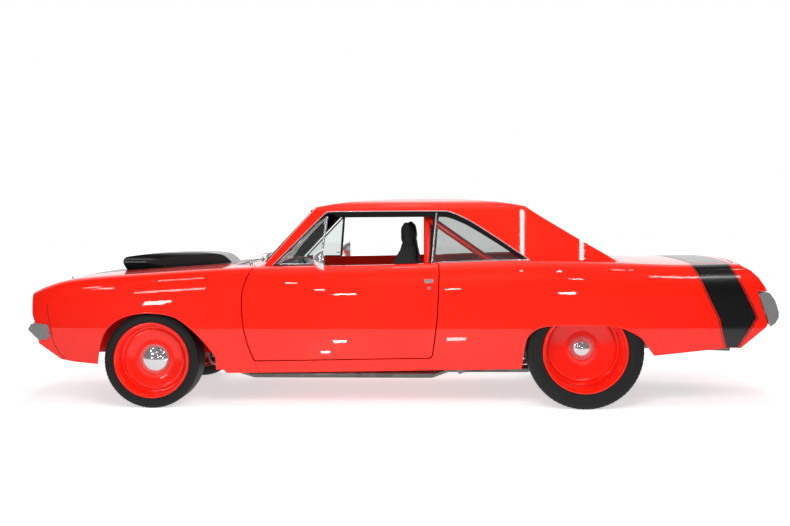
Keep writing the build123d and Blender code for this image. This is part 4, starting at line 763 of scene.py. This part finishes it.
# vent windows: bright tube frames with a clear pane, on the doors
vent = {"frontWidthMm": 11, "barWidthMm": 17, "baseWidthMm": 12, "paneMm": 4}
for label, side in sides:
    body = f"door_{label}"
    corners = {"low": (828, 938), "top": (1136, 1248), "foot": (1100, 938)}
    flat = {k: (fromFront(x)[0], z) for k, (x, z) in corners.items()}
    frame = []
    for name, (a, b), width, height in (("front", ("low", "top"), vent["frontWidthMm"], 7),
                                        ("bar", ("foot", "top"), vent["barWidthMm"], 10),
                                        ("base", ("low", "foot"), vent["baseWidthMm"], 7)):
        (x0, z0), (x1, z1) = flat[a], flat[b]
        line = [onSlope(x0 + (x1 - x0) * t / 24, z0 + (z1 - z0) * t / 24, side, -5) for t in range(25)]
        frame.append(sweepPiece(f"ventFrame_{name}_{label}", line, sized(halfRound, width, height, 4),
                                chromePlate, body))
    points = []
    for out in (-10, -10 - vent["paneMm"]):
        points += [onSlope(x, z, side, out)[0] for x, z in flat.values()]
    pane = meshPiece(f"ventPane_{label}", points, [(0, 1, 2), (5, 4, 3), (0, 3, 4, 1), (1, 4, 5, 2),
                                                   (2, 5, 3, 0)], floatGlass, body)
    tidyNormals(pane)
    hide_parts(f"vent_window_{label}")
    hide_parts(f"vent_window_{label}")

    def latch(work):  # small wing latch and pivot on the vent window
        x, z = flat["foot"]
        spot = onSlope(x - 22, z + 26, side, -14)[0]
        addRod(work, (spot.x - 16, spot.y, spot.z), (spot.x + 16, spot.y - side * 2, spot.z + 3), 3.5, 16,
               2.6)
        addRod(work, (spot.x, spot.y + side * 6, spot.z), (spot.x, spot.y - side * 5, spot.z), 5.5, 20)

    builtPiece(f"ventLatch_{label}", latch, chromePlate, body)

    # bright strip and black run channel at the front of the rear side window
    strip = [(1834 + (1864 - 1834) * t / 20, 936 + (1268 - 936) * t / 20) for t in range(21)]
    line = [onSlope(fromFront(x)[0], z, side, 1.0) for x, z in strip]
    sweepPiece(f"pillarStrip_{label}", line, sized(halfRound, 13, 8, 2), chromePlate, "body")
    slopeBand(f"runChannel_{label}", [(x - 20, z) for x, z in strip], [(x - 5, z) for x, z in strip], side,
              -1.0, 8, blackSealAndGapShade, "body")

    # door handle: a paddle in an escutcheon, with the lock button below
    handle = {"x": 1816, "z": 833, "lengthMm": 54, "lockX": 1818, "lockZ": 790}
    hit, out = fromSide(skinOf(body), fromFront(handle["x"])[0], handle["z"], side)
    lockHit = fromSide(skinOf(body), fromFront(handle["lockX"])[0], handle["lockZ"], side)[0]

    def grip(work):
        half = handle["lengthMm"] / 2
        y0, y1 = sorted((hit.y - side * 2, hit.y + side * 4))
        addBlock(work, (hit.x - half, y0, hit.z - 14), (hit.x + half, y1, hit.z + 14), 5)
        y0, y1 = sorted((hit.y + side * 3, hit.y + side * 17))
        addBlock(work, (hit.x - half + 3, y0, hit.z - 1), (hit.x + half - 3, y1, hit.z + 12), 5)
        y0, y1 = sorted((hit.y + side * 9, hit.y + side * 18))
        addBlock(work, (hit.x - half + 8, y0, hit.z - 11), (hit.x + half - 8, y1, hit.z + 3), 4)

    def lock(work):
        addRod(work, (lockHit.x, lockHit.y - side * 2, lockHit.z),
               (lockHit.x, lockHit.y + side * 4, lockHit.z), 11, 32, 10)
        addRod(work, (lockHit.x, lockHit.y + side * 3, lockHit.z),
               (lockHit.x, lockHit.y + side * 6.5, lockHit.z), 7, 32, 6.4)

    builtPiece(f"doorHandle_{label}", grip, chromePlate, body)
    builtPiece(f"doorLock_{label}", lock, chromePlate, body)

    # mirror glass let into the back of the pod
    low, high = nodeBox(f"door_mirror_{label}")
    glass = []
    for ring in range(5):
        for i in range(32):
            turn, r = 2 * math.pi * i / 32, ring / 4
            y = side * 946 + 44 * r * math.cos(turn)
            z = 975 + 58 * r * math.sin(turn)
            glass.append(Vector((high.x - 3 + 2 * r, y, z)))
    faces = [(32 * r + i, 32 * r + (i + 1) % 32, 32 * r + 32 + (i + 1) % 32,
              32 * r + 32 + i) for r in range(4) for i in range(32)]
    face = meshPiece(f"mirrorGlass_{label}", glass, faces, chromePlate, body, 60)
    tidyNormals(face)

    # inner door panel: pleated vinyl card, armrest, crank and lever
    panel = {"pleatMm": 42, "raisedMm": 5, "frontX": 700, "rearX": 1800, "low": 400, "high": 860}
    card, deep = [], side * 742
    rowsCount, columnsCount = 30, 120
    for r in range(rowsCount + 1):
        z = panel["low"] + (panel["high"] - panel["low"]) * r / rowsCount
        for c in range(columnsCount + 1):
            x = panel["frontX"] + (panel["rearX"] - panel["frontX"]) * c / columnsCount
            edge = min(1.0, min(r, rowsCount - r) / 2, min(c, columnsCount - c) / 2)
            pleat = abs(math.sin(math.pi * (x - panel["frontX"]) / panel["pleatMm"])) ** 0.5 if 520 < z < 780 else 0.9
            card.append(Vector((fromFront(x)[0], deep - side * panel["raisedMm"] * pleat * edge, z)))
    faces = [(r * (columnsCount + 1) + c, r * (columnsCount + 1) + c + 1,
              (r + 1) * (columnsCount + 1) + c + 1, (r + 1) * (columnsCount + 1) + c)
             for r in range(rowsCount) for c in range(columnsCount)]
    inner = meshPiece(f"doorCard_{label}", card, faces, seatVinyl, body, 40)
    tidyNormals(inner)

    def furniture(work):
        y0, y1 = sorted((deep, deep - side * 62))
        addBlock(work, (fromFront(1180)[0], y0, 640), (fromFront(1500)[0], y1, 678), 14, 4)

    builtPiece(f"armrest_{label}", furniture, grainedPlastic, body)

    def cranks(work):
        x, z = fromFront(1080)[0], 600
        addRod(work, (x, deep + side * 3, z), (x, deep - side * 26, z), 16, 32, 13)
        addBlock(work, (x - 8, min(deep - side * 20, deep - side * 30), z - 96),
                 (x + 8, max(deep - side * 20, deep - side * 30), z + 8), 4)
        addRod(work, (x, deep - side * 22, z - 88), (x, deep - side * 56, z - 88), 9, 24, 11)
        x, z = fromFront(1240)[0], 780
        addRod(work, (x, deep + side * 3, z), (x, deep - side * 20, z), 15, 32, 12)
        addBlock(work, (x - 6, min(deep - side * 14, deep - side * 22), z - 8),
                 (x + 84, max(deep - side * 14, deep - side * 22), z + 8), 3)

    builtPiece(f"doorFurniture_{label}", cranks, chromePlate, body)
print("stage: door trim fitted")

# seats and bench: vinyl over foam, blown out by a cloth simulation between their sewn channels
padding = {"voxelMm": 8, "startInMm": 14, "capMm": 17, "pressure": 4.0, "channelMm": 9}


def upholster(name, node, channels, body):  # channels: (axis, place) planes in mm where the cover is sewn down
    obj = bpy.data.objects.new(name, nodes[node].data.copy())
    bpy.context.scene.collection.objects.link(obj)
    remesh = obj.modifiers.new("remesh", "REMESH")
    remesh.mode, remesh.voxel_size = "VOXEL", padding["voxelMm"] / 1000
    mesh = bpy.data.meshes.new_from_object(obj.evaluated_get(bpy.context.evaluated_depsgraph_get()))
    obj.modifiers.clear()
    obj.data = mesh
    mesh.name = name
    start = [v.co - v.normal * padding["startInMm"] / 1000 for v in mesh.vertices]
    for v, place in zip(mesh.vertices, start):
        v.co = place
    sewn = obj.vertex_groups.new(name="sewn")
    near = {v.index for v in mesh.vertices for axis,
            place in channels if abs(v.co[axis] * 1000 - place) < padding["channelMm"]}
    sewn.add(list(near), 1.0, "REPLACE")
    cloth = obj.modifiers.new("cloth", "CLOTH")
    cloth.settings.use_pressure = True
    cloth.settings.uniform_pressure_force = padding["pressure"]
    cloth.settings.vertex_group_mass = "sewn"
    cloth.settings.effector_weights.gravity = 0
    cloth.settings.quality = 4
    for frameNumber in range(1, 21):
        bpy.context.scene.frame_set(frameNumber)
    blown = obj.evaluated_get(bpy.context.evaluated_depsgraph_get()).to_mesh()
    moved = [v.co.copy() for v in blown.vertices]
    obj.modifiers.clear()
    for v, place, new in zip(mesh.vertices, start, moved):
        step = new - place
        v.co = place + step * min(1.0, padding["capMm"] / 1000 / max(step.length, 1e-9))
    bpy.context.scene.frame_set(1)
    work = bmesh.new()
    work.from_mesh(mesh)
    bmesh.ops.smooth_vert(work, verts=work.verts, factor=0.5, use_axis_x=True, use_axis_y=True,
                          use_axis_z=True)
    work.to_mesh(mesh)
    work.free()
    made = finishPiece(obj, seatVinyl, body, 60)
    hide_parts(node)
    return made


for label, side in sides:
    upholster(f"seatCover_{label}", f"seat_{label}", [(1, side * 350 - 150), (1, side * 350 + 150), (2, 470)],
              "body")
upholster("benchCover", "rear_bench", [(1, -265), (1, 0), (1, 265), (2, 500), (2, 700)], "body")
print("stage: seats upholstered")

# black moulded rubber floor covering
covering = {"sightMm": 560, "proudMm": 6, "front": 640, "rear": 2300, "half": 640}
floorSkin = skinOf("floor_pan", "rear_floor")
rows = []
for i in range(65):
    across = -covering["half"] + 2 * covering["half"] * i / 64
    row = []
    for j in range(81):
        station = fromFront(covering["front"] + (covering["rear"] - covering["front"]) * j / 80)[0]
        met = land(floorSkin, (station, across, covering["sightMm"]), (0, 0, -1))
        row.append(met[0] + met[1] * covering["proudMm"] if met and met[1].z > 0.2 else None)
    rows.append(row)
points, index, faces = [], {}, []
for i, row in enumerate(rows):
    for j, p in enumerate(row):
        if p:
            index[i, j] = len(points)
            points.append(p)
for i in range(64):
    for j in range(80):
        corners = [index.get(k) for k in ((i, j), (i, j + 1), (i + 1, j + 1), (i + 1, j))]
        if None not in corners and max(points[c].z for c in corners) - min(points[c].z for c in corners) < 90:
            faces.append(corners)
meshPiece("floorCovering", points, faces, tyreRubber, "body", 40)

# instruments, switches, blank radio plate and glove box lid on the dash
gauges = {"faceMm": 42, "places": (-470, -380, -290, -200), "z": 790}
dashSkin = skinOf("dashboard")


def dashPoint(y, z):
    return land(dashSkin, (fromFront(1500)[0], y, z), (-1, 0, 0))


def bezels(work):
    for y in gauges["places"]:
        met = dashPoint(y, gauges["z"])
        if met:
            p, n = met
            addRod(work, p - n * 4, p + n * 9, gauges["faceMm"], 48, gauges["faceMm"] - 3)
    for y in (-60, 60):
        met = dashPoint(y, 745)
        if met:
            addRod(work, met[0] - met[1] * 3, met[0] + met[1] * 20, 13, 32, 11)
    for y in (-30, 0, 30):
        met = dashPoint(y, 815)
        if met:
            addRod(work, met[0] - met[1] * 3, met[0] + met[1] * 14, 6, 24, 5)


def dials(work):
    for y in gauges["places"]:
        met = dashPoint(y, gauges["z"])
        if met:
            p, n = met
            addRod(work, p + n * 6, p + n * 10.5, gauges["faceMm"] - 6, 48)


builtPiece("gaugeBezels", bezels, chromePlate, "body")
builtPiece("gaugeDials", dials, blackSealAndGapShade, "body")
met = dashPoint(0, 745)
if met:
    builtPiece("radioPlate", lambda work: addBlock(work, (met[0].x - 4, -48, 718), (met[0].x + 5, 48, 772),
                                                   4), blackLacquer, "body")
met = dashPoint(400, 760)
if met:
    builtPiece("gloveBoxLid", lambda work: addBlock(work, (met[0].x - 6, 250, 700), (met[0].x + 4, 560, 812),
                                                    8), grainedPlastic, "body")

# inside mirror, sun visors and the shift lever
def mirror(work):
    x = fromFront(1040)[0]
    addBlock(work, (x, -110, 1188), (x + 16, 110, 1236), 8, 4)
    addRod(work, (x + 4, 0, 1230), (x + 40, 0, 1278), 6, 20, 8)


builtPiece("insideMirror", mirror, grainedPlastic, "body")
x = fromFront(1040)[0]
builtPiece("insideMirrorGlass", lambda work: addBlock(work, (x + 15, -104, 1193), (x + 19, 104, 1231), 3),
           chromePlate, "body")


def visors(work):
    for y in (-330, 330):
        addBlock(work, (fromFront(1060)[0], y - 200, 1262), (fromFront(1200)[0], y + 200, 1278), 7, 4)


builtPiece("sunVisors", visors, seatVinyl, "body")


def shifter(work):
    x = fromFront(1330)[0]
    addRod(work, (x, 0, 440), (x + 60, 0, 640), 8, 24, 7)
    bmesh.ops.create_uvsphere(work, u_segments=32, v_segments=20, radius=0.026,
                              matrix=Matrix.Translation(inMetres(x + 64, 0, 655)))


builtPiece("shiftLever", shifter, chromePlate, "body")
builtPiece("shiftBoot", lambda work: addRod(work, (fromFront(1330)[0], 0, 400), (fromFront(1345)[0], 0, 490),
                                            70, 36, 16), seatVinyl,
           "body")


def pedals(work):
    for y, wide in ((-250, 26), (-350, 44), (-440, 44)):
        x = fromFront(830)[0]
        addBlock(work, (x, y - wide, 400), (x + 12, y + wide, 450), 5)
        addRod(work, (x, y, 440), (x - 60, y, 640), 7, 16)


builtPiece("pedals", pedals, grainedPlastic, "body")
print("stage: cabin dressed")
# engine dressing: rocker covers, intake, pulleys, fan, distributor, battery and brake booster
low, high = nodeBox("engine")
engineSkin = skinOf("engine")
dressing = {"coverWide": 118, "coverTall": 62, "runnerMm": 19}


def topOf(x, y, fall=780.0):
    met = fromAbove(engineSkin, x, y)
    return met[0].z if met else fall


span = [low.x + 150, min(high.x, low.x + 760)]


def rockerCovers(work):
    for side in (-1, 1):
        y = side * 190
        base = min(topOf(x, y) for x in (span[0] + 60, (span[0] + span[1]) / 2, span[1] - 60))
        y0, y1 = y - dressing["coverWide"] / 2, y + dressing["coverWide"] / 2
        addBlock(work, (span[0] + 20, y0 - 6, base - 4), (span[1] - 20, y1 + 6, base + 6), 3)
        addBlock(work, (span[0] + 26, y0, base), (span[1] - 26, y1, base + dressing["coverTall"]), 20, 5)
        for i in range(5):
            x = span[0] + 60 + i * (span[1] - span[0] - 120) / 4
            addRod(work, (x, y - side * 66, base + 2), (x, y - side * 66, base + 14), 6, 6)
        addRod(work, (span[0] + 90, y, base + dressing["coverTall"] - 3),
               (span[0] + 90, y, base + dressing["coverTall"] + 14), 24, 32, 21)


builtPiece("rockerCovers", rockerCovers, chromePlate, "body")


def intake(work):
    middle, base = (span[0] + span[1]) / 2, topOf((span[0] + span[1]) / 2, 0)
    addBlock(work, (middle - 90, -80, base - 4), (middle + 90, 80, base + 26), 10, 4)
    for side in (-1, 1):
        for i in range(4):
            x = span[0] + 90 + i * (span[1] - span[0] - 180) / 3
            addRod(work, (middle + (x - middle) * 0.35, side * 40, base + 12), (x, side * 120, base + 2),
                   dressing["runnerMm"], 20)
    addBlock(work, (middle - 62, -62, base + 24), (middle + 62, 62, base + 44), 6)


builtPiece("intakeManifold", intake, aluminium, "body")


def front(work):
    x, z = low.x, 480
    addRod(work, (x - 4, 0, z), (x - 34, 0, z), 84, 48)
    addRod(work, (x - 4, 0, z - 150), (x - 40, 0, z - 150), 78, 48)
    addRod(work, (x - 4, 190, z + 120), (x - 40, 190, z + 120), 34, 36)
    addRod(work, (x - 34, 0, z), (x - 52, 0, z), 30, 32)
    for i in range(6):
        turn = math.radians(60 * i)
        addBlock(work, (x - 58, math.sin(turn) * 110 - 26, z + math.cos(turn) * 110 - 26),
                 (x - 54, math.sin(turn) * 110 + 26,
                 z + math.cos(turn) * 110 + 26), 1.5, 2)


builtPiece("pulleysAndFan", front, aluminium, "body")




def ignition(work):
    x, z = high.x - 560, topOf(span[1] - 10, 40)
    addRod(work, (x, 40, z - 6), (x, 40, z + 44), 26, 32, 34)
    for i in range(8):
        turn = math.radians(45 * i)
        addRod(work, (x + 24 * math.cos(turn), 40 + 24 * math.sin(turn), z + 40),
               (x + 24 * math.cos(turn), 40 + 24 * math.sin(turn), z + 56),
               5, 16)


builtPiece("distributor", ignition, blackSealAndGapShade, "body")


def bay(work):  # battery with its top
    addBlock(work, (fromFront(-420)[0], 430, 600), (fromFront(-250)[0], 600, 780), 8)
    addBlock(work, (fromFront(-410)[0], 440, 778), (fromFront(-260)[0], 590, 792), 5)


builtPiece("battery", bay, grainedPlastic, "body")


def brake(work):
    x = fromFront(545)[0]
    addRod(work, (x, -330, 720), (x - 90, -330, 720), 95, 48, 80)
    addBlock(work, (x - 190, -352, 700), (x - 80, -308, 752), 8)
    addBlock(work, (x - 184, -356, 748), (x - 90, -304, 764), 4)


builtPiece("brakeBooster", brake, aluminium, "body")
print("stage: engine dressed")
# headlamp rings and grille work
low, high = nodeBox("headlamps")
for label, side in sides:
    profile = [(86, 0), (88, 7), (93, 9), (98, 6), (100, 0), (98, -10), (86, -10), (86, 0)]
    points, faces, ring = [], [], len(profile)
    for i in range(96):
        turn = 2 * math.pi * i / 96
        points += [Vector((low.x + 26 - out, side * 690 + r * math.cos(turn),
                           655 + r * math.sin(turn))) for r, out in profile]
    for i in range(96):
        a, b = i * ring, (i + 1) % 96 * ring
        faces += [(a + j, a + j + 1, b + j + 1, b + j) for j in range(ring - 1)]
    made = meshPiece(f"headlampBezel_{label}", points, faces, chromePlate, "body", 40)
    tidyNormals(made)


def bars(work):
    front, back = nodeBox("grille")
    for i in range(1, 9):
        z = front.z + (back.z - front.z) * i / 9
        for y0, y1 in ((-570, -8), (8, 570)):
            addBlock(work, (front.x + 8, y0, z - 2), (front.x + 22, y1, z + 2), 1.5, 2)


builtPiece("grilleBars", bars, aluminium, "body")
builtPiece("grilleMesh", lambda work: [addBlock(work, (nodeBox("grille")[0].x + 24, y - 1.2, 592),
                                                (nodeBox("grille")[0].x + 28, y + 1.2, 722),
           0.6, 1) for y in range(-560, 561, 16)], blackLacquer, "body")


def bumperBolts(work):
    for skinName, way, spots in (("front_bumper", 1, (-620, -240, 240, 620)),
                                 ("rear_bumper", -1, (-720, -330, 330, 720))):
        skin = skinOf(skinName)
        for y in spots:
            met = land(skin, (-way * 3000, y, 508 if way > 0 else 640), (way, 0, 0))
            if met:
                addRod(work, met[0] - met[1] * 2, met[0] + met[1] * 4, 12, 32, 7)


builtPiece("bumperBolts", bumperBolts, chromePlate, "body")

# blank plate held by two bolts in the rear bumper's recess
plateX = fromRear(1226)[0]
builtPiece("blankPlate", lambda work: addBlock(work, (plateX + 1, -152, 563), (plateX + 3, 152, 713), 1),
           aluminium, "body")
builtPiece("plateBolts", lambda work: [addRod(work, (plateX + 2, y, 697), (plateX + 7, y, 697), 7, 24,
                                              5) for y in (-88.9, 88.9)],
           chromePlate, "body")

# lamp frames and ribs over the red lenses
lensSkin = skinOf("tail_lamps")
for label, side in sides:
    ringLine = [(side * (404 + 252 * t), 594) for t in (0, 0.25, 0.5, 0.75, 1)] + [(side * 656,
            594 + 87 * t) for t in (0.5, 1)] \
        + [(side * (656 - 252 * t), 681) for t in (0.25, 0.5, 0.75, 1)] + [(side * 404,
                681 - 87 * t) for t in (0.5, 1)]
    line = [land(lensSkin, (3200, y, z), (-1, 0, 0)) for y, z in ringLine]
    sweepPiece(f"tailLampFrame_{label}", [p for p in line if p], sized(halfRound, 10, 5, 1), chromePlate,
               "body")
    line = [land(lensSkin, (3200, side * (408 + 244 * i / 20), 637), (-1, 0, 0)) for i in range(21)]
    sweepPiece(f"tailLampRib_{label}", [p for p in line if p], sized(halfRound, 6, 3, 1), chromePlate, "body")

# wiper arms and blades, cowl vent slots and hood pins
glassSkin, cowlSkin, hoodSkin = skinOf("windshield"), skinOf("cowl"), skinOf("hood")
for label, y0 in (("left", -420), ("right", 60)):
    foot = fromAbove(cowlSkin, fromFront(590)[0], y0)
    if foot:
        rest = []
        for i in range(17):
            y, z = y0 + 40 + 400 * i / 16, 968 + 26 * i / 16
            met = land(glassSkin, (-3000, y, z), (1, 0, 0))
            if met:
                rest.append((met[0] + met[1] * 6, met[1]))
        if len(rest) > 4:
            sweepPiece(f"wiperBlade_{label}", rest, [(-3, -4), (-3, 4), (3, 4), (3, -4)], blackSealAndGapShade, "body")
            tip = rest[8][0] + rest[8][1] * 8
            arm = [(foot[0] + Vector((0, 0, 12 + 4 * i)) * 1.0).lerp(tip, i / 12) for i in range(13)]
            sweepPiece(f"wiperArm_{label}", [(p, Vector((-0.6, 0, 0.8))) for p in arm],
                       sized(halfRound, 11, 6, 0), chromePlate, "body")
            base = foot[0]
            builtPiece(f"wiperPivot_{label}", lambda work: addRod(work, base - Vector((0, 0, 3)),
                    base + Vector((0, 0, 24)), 15, 32, 10),
                       chromePlate, "body")


def slots(work):
    for y in range(-480, 481, 40):
        met = fromAbove(cowlSkin, fromFront(545)[0], y)
        if met:
            p = met[0]
            addBlock(work, (p.x - 16, y - 12, p.z - 2), (p.x + 16, y + 12, p.z + 1.6), 1.5, 2)


builtPiece("cowlVents", slots, grainedPlastic, "body")


def pins(work):
    for y in (-455, 455):
        met = fromAbove(hoodSkin, fromFront(-640)[0], y)
        if met:
            p, n = met
            addRod(work, p - n * 2, p + n * 3, 17, 36, 15)
            addRod(work, p, p + n * 16, 5, 20, 4)
            addRod(work, p + n * 10 + Vector((0, -14, 0)), p + n * 10 + Vector((0, 14, 0)), 1.6, 12)


builtPiece("hoodPins", pins, chromePlate, "hood")
print("stage: ends dressed")
finishes = {
    redEnamel: ["fender_left", "fender_right", "quarter_left", "quarter_right", "door_left", "door_right",
                "cowl",
                "firewall", "front_structure", "radiator_support", "nose_panel", "tail_panel", "rear_shelf",
                "floor_pan", "rear_floor",
                "wheel_tubs", "trunk_lid", "hood", "roll_cage", "front_wheel_left", "front_wheel_right",
                "rear_wheel_left",
                "rear_wheel_right"],
    linedRoof: ["roof"],
    blackLacquer: ["hood_scoop", "rear_axle", "driveshaft", "suspension_arms", "fuel_tank", "radiator",
                   "knuckle_left",
                   "knuckle_right"],
    chromePlate: ["front_bumper", "rear_bumper", "door_mirror_left", "door_mirror_right", "vent_window_left",
                  "vent_window_right"],
    laminatedGlass: ["windshield"],
    floatGlass: ["rear_window"],
    smokedGlass: ["quarter_windows"],
    lampGlass: ["headlamps"],
    redAcrylic: ["tail_lamps"],
    aluminium: ["grille"],
    castIron: ["engine"],
    exhaustSteel: ["exhaust"],
    grainedPlastic: ["dashboard", "steering_wheel"],
    seatVinyl: ["seat_left", "seat_right", "rear_bench"],
    tyreRubber: ["front_tyre_left", "front_tyre_right", "rear_tyre_left", "rear_tyre_right"],
}
for material, names in finishes.items():
    for name in names:
        mesh = nodes[name].data
        mesh.materials.clear()
        mesh.materials.append(material)
print("stage: solids finished")

# stage
stage = {"floorColour": "f4f4f4", "nearGlow": 0.6, "farGlow": 0.98, "mirrorGlow": 0.85, "fill": 0.26,
         "darkSide": 0.06, "brightSide": 1.0}
bpy.ops.mesh.primitive_plane_add(size=80, location=(0, 0, 0))
floor = bpy.context.object
floor.name = "studioFloor"
floorPaint, tree, shader = newMaterial("floorPaintMatt",
                                       {"Base Color": linear(stage["floorColour"]), "Roughness": 0.9})
path = add(tree, "ShaderNodeLightPath")
seen = add(tree, "ShaderNodeMath", {"operation": "MAXIMUM"},
           {0: path.outputs["Is Camera Ray"], 1: path.outputs["Is Transmission Ray"]})
coords = add(tree, "ShaderNodeTexCoord").outputs["Object"]
spot = add(tree, "ShaderNodeSeparateXYZ", None, {0: coords})
lit = add(tree, "ShaderNodeMapRange", {"interpolation_type": "SMOOTHSTEP", "From Min": -3.4, "From Max": -2.4,
                                       "To Min": 0.05,
          "To Max": stage["mirrorGlow"]}, {"Value": spot.outputs["Y"]})
away = add(tree, "ShaderNodeVectorMath", {"operation": "LENGTH"}, {0: coords})
pale = add(tree, "ShaderNodeMapRange", {"interpolation_type": "SMOOTHSTEP", "From Min": 2.6, "From Max": 5.0,
                                        "To Min": stage["nearGlow"],
           "To Max": stage["farGlow"]}, {"Value": away.outputs["Value"]})
glow = add(tree, "ShaderNodeMath", {"operation": "MULTIPLY"}, {0: seen.outputs[0], 1: pale.outputs[0]})
glow = add(tree, "ShaderNodeMix", {"data_type": "FLOAT"},
           {0: path.outputs["Is Glossy Ray"], 2: glow.outputs[0], 3: lit.outputs[0]})
shader.inputs["Emission Color"].default_value = (1, 1, 1, 1)
tree.links.new(glow.outputs[0], shader.inputs["Emission Strength"])
white = add(tree, "ShaderNodeMix", {"data_type": "RGBA", 6: linear(stage["floorColour"]), 7: (0, 0, 0, 1)},
            {"Factor": path.outputs["Is Glossy Ray"]})
tree.links.new(white.outputs[2], shader.inputs["Base Color"])
floor.data.materials.append(floorPaint)

# white backdrop behind the car for the eye; the polished surfaces mirror a dim studio on the near side
# and white on the far side
world = bpy.data.worlds.new("studioWorld")
bpy.context.scene.world = world
world.use_nodes = True
tree = world.node_tree
tree.nodes.clear()
path = add(tree, "ShaderNodeLightPath")
seen = add(tree, "ShaderNodeMath", {"operation": "MAXIMUM"},
           {0: path.outputs["Is Camera Ray"], 1: path.outputs["Is Transmission Ray"]})
coords = add(tree, "ShaderNodeTexCoord").outputs["Generated"]
way = add(tree, "ShaderNodeSeparateXYZ", None, {0: coords})
mirror = add(tree, "ShaderNodeMapRange", {"interpolation_type": "SMOOTHSTEP", "From Min": -0.05,
                                          "From Max": 0.45,
             "To Min": stage["darkSide"], "To Max": stage["brightSide"]}, {"Value": way.outputs["Y"]})
plain = add(tree, "ShaderNodeMix", {"data_type": "FLOAT", 2: stage["fill"]},
            {0: path.outputs["Is Glossy Ray"], 3: mirror.outputs[0]})
level = add(tree, "ShaderNodeMix", {"data_type": "FLOAT", 3: 1.0}, {0: seen.outputs[0], 2: plain.outputs[0]})
backdrop = add(tree, "ShaderNodeBackground", {"Color": (1, 1, 1, 1)}, {"Strength": level.outputs[0]})
add(tree, "ShaderNodeOutputWorld", None, {"Surface": backdrop.outputs[0]})

lamps = [  # name, place, size, watts, aim, mirrored
    ("overheadSoftbox", (0.3, -1.2, 4.4), (4.0, 2.0), 145, (0.1, 0, 0.6), False),
    ("sideSoftbox", (0.4, -4.1, 2.4), (1.7, 1.0), 84, (0.1, 0, 0.6), False),
    ("farSoftbox", (0.3, 5.0, 3.2), (4.0, 1.6), 120, (0.1, 0, 0.6), False),
]
glints = [  # small studio lamps, only seen as sparks in the polished panels: name, place, size, watts
    ("glintFender", (-3.44, -6.0, 0.42), (0.42, 0.30), 9.0),
    ("glintFenderTopA", (-5.5, -6.0, 4.9), (0.4, 0.3), 6.0),
    ("glintFenderTopB", (-4.9, -6.0, 3.9), (0.4, 0.3), 6.0),
    ("glintHoodEdge", (-4.0, -5.6, 6.0), (0.9, 0.5), 14.0),
    ("glintDoorA", (-0.81, -6.0, 0.66), (0.24, 0.14), 4.0),
    ("glintDoorB", (-1.55, -6.0, 2.95), (0.18, 0.30), 3.5),
    ("glintDoorC", (-1.12, -6.0, 1.4), (0.13, 0.16), 2.0),
    ("glintDoorLowA", (-0.45, -1.75, 0.02), (0.10, 0.05), 0.5),
    ("glintDoorLowB", (-0.52, -1.38, 0.02), (0.06, 0.04), 0.25),
    ("glintQuarterA", (0.34, -6.0, 1.05), (0.2, 0.14), 3.6),
    ("glintQuarterB", (1.83, -6.0, 0.4), (0.22, 0.10), 3.2),
    ("glintQuarterC", (2.08, -6.0, 2.85), (0.2, 0.2), 3.2),
    ("glintQuarterD", (2.66, -3.5, 4.95), (0.3, 0.3), 4.0),
    ("glintQuarterLow", (0.4, -1.85, 0.02), (0.14, 0.10), 0.7),
    ("glintRoof", (-0.08, -0.7, 5.0), (0.5, 0.12), 3.0),
    ("glintSail", (1.3, -6.0, 5.7), (0.05, 0.7), 2.6),
    ("glintSailRear", (2.05, -6.0, 5.5), (0.05, 0.7), 2.6),
    ("glintBand", (4.1, -6.0, 4.4), (1.3, 0.6), 30.0),
    ("glintTail", (3.9, -2.4, 5.3), (0.3, 0.3), 4.0),
    ("glintScoop", (-3.4, -6.0, 2.2), (1.1, 0.4), 16.0),
]
lamps += [(name, place, size, watts, (place[0], 0, 0.7), True) for name, place, size, watts in glints]
for name, place, size, watts, aim, mirrored in lamps:
    light = bpy.data.lights.new(name, "AREA")
    light.shape = "RECTANGLE"
    light.size, light.size_y, light.energy = size[0], size[1], watts
    lamp = bpy.data.objects.new(name, light)
    bpy.context.scene.collection.objects.link(lamp)
    lamp.location = place
    lamp.rotation_euler = (Vector(aim) - Vector(place)).to_track_quat("-Z", "Y").to_euler()
    lamp.visible_glossy = mirrored
    lamp.visible_camera = False

camera = {"place": (0.3471, -7.8838, 1.2693), "yaw": 0.04885, "pitch": 0.04537, "roll": -0.004787,
          "lens": 50.0}
data = bpy.data.cameras.new("studioCamera")
data.lens, data.sensor_width = camera["lens"], 36.0
data.clip_end = 200
studioCamera = bpy.data.objects.new("studioCamera", data)
bpy.context.scene.collection.objects.link(studioCamera)
studioCamera.location = camera["place"]
cy, sy = math.cos(camera["yaw"]), math.sin(camera["yaw"])
cp, sp = math.cos(camera["pitch"]), math.sin(camera["pitch"])
ahead = Vector((-sy * cp, cy * cp, -sp))
level = Vector((cy, sy, 0))
upward = level.cross(ahead)
cr, sr = math.cos(camera["roll"]), math.sin(camera["roll"])
right, up = cr * level + sr * upward, cr * upward - sr * level
studioCamera.rotation_mode = "QUATERNION"
studioCamera.rotation_quaternion = Matrix((right, up, -ahead)).transposed().to_quaternion()
bpy.context.scene.camera = studioCamera
bpy.context.scene.view_settings.view_transform = "Standard"
print("stage: lights and camera set")
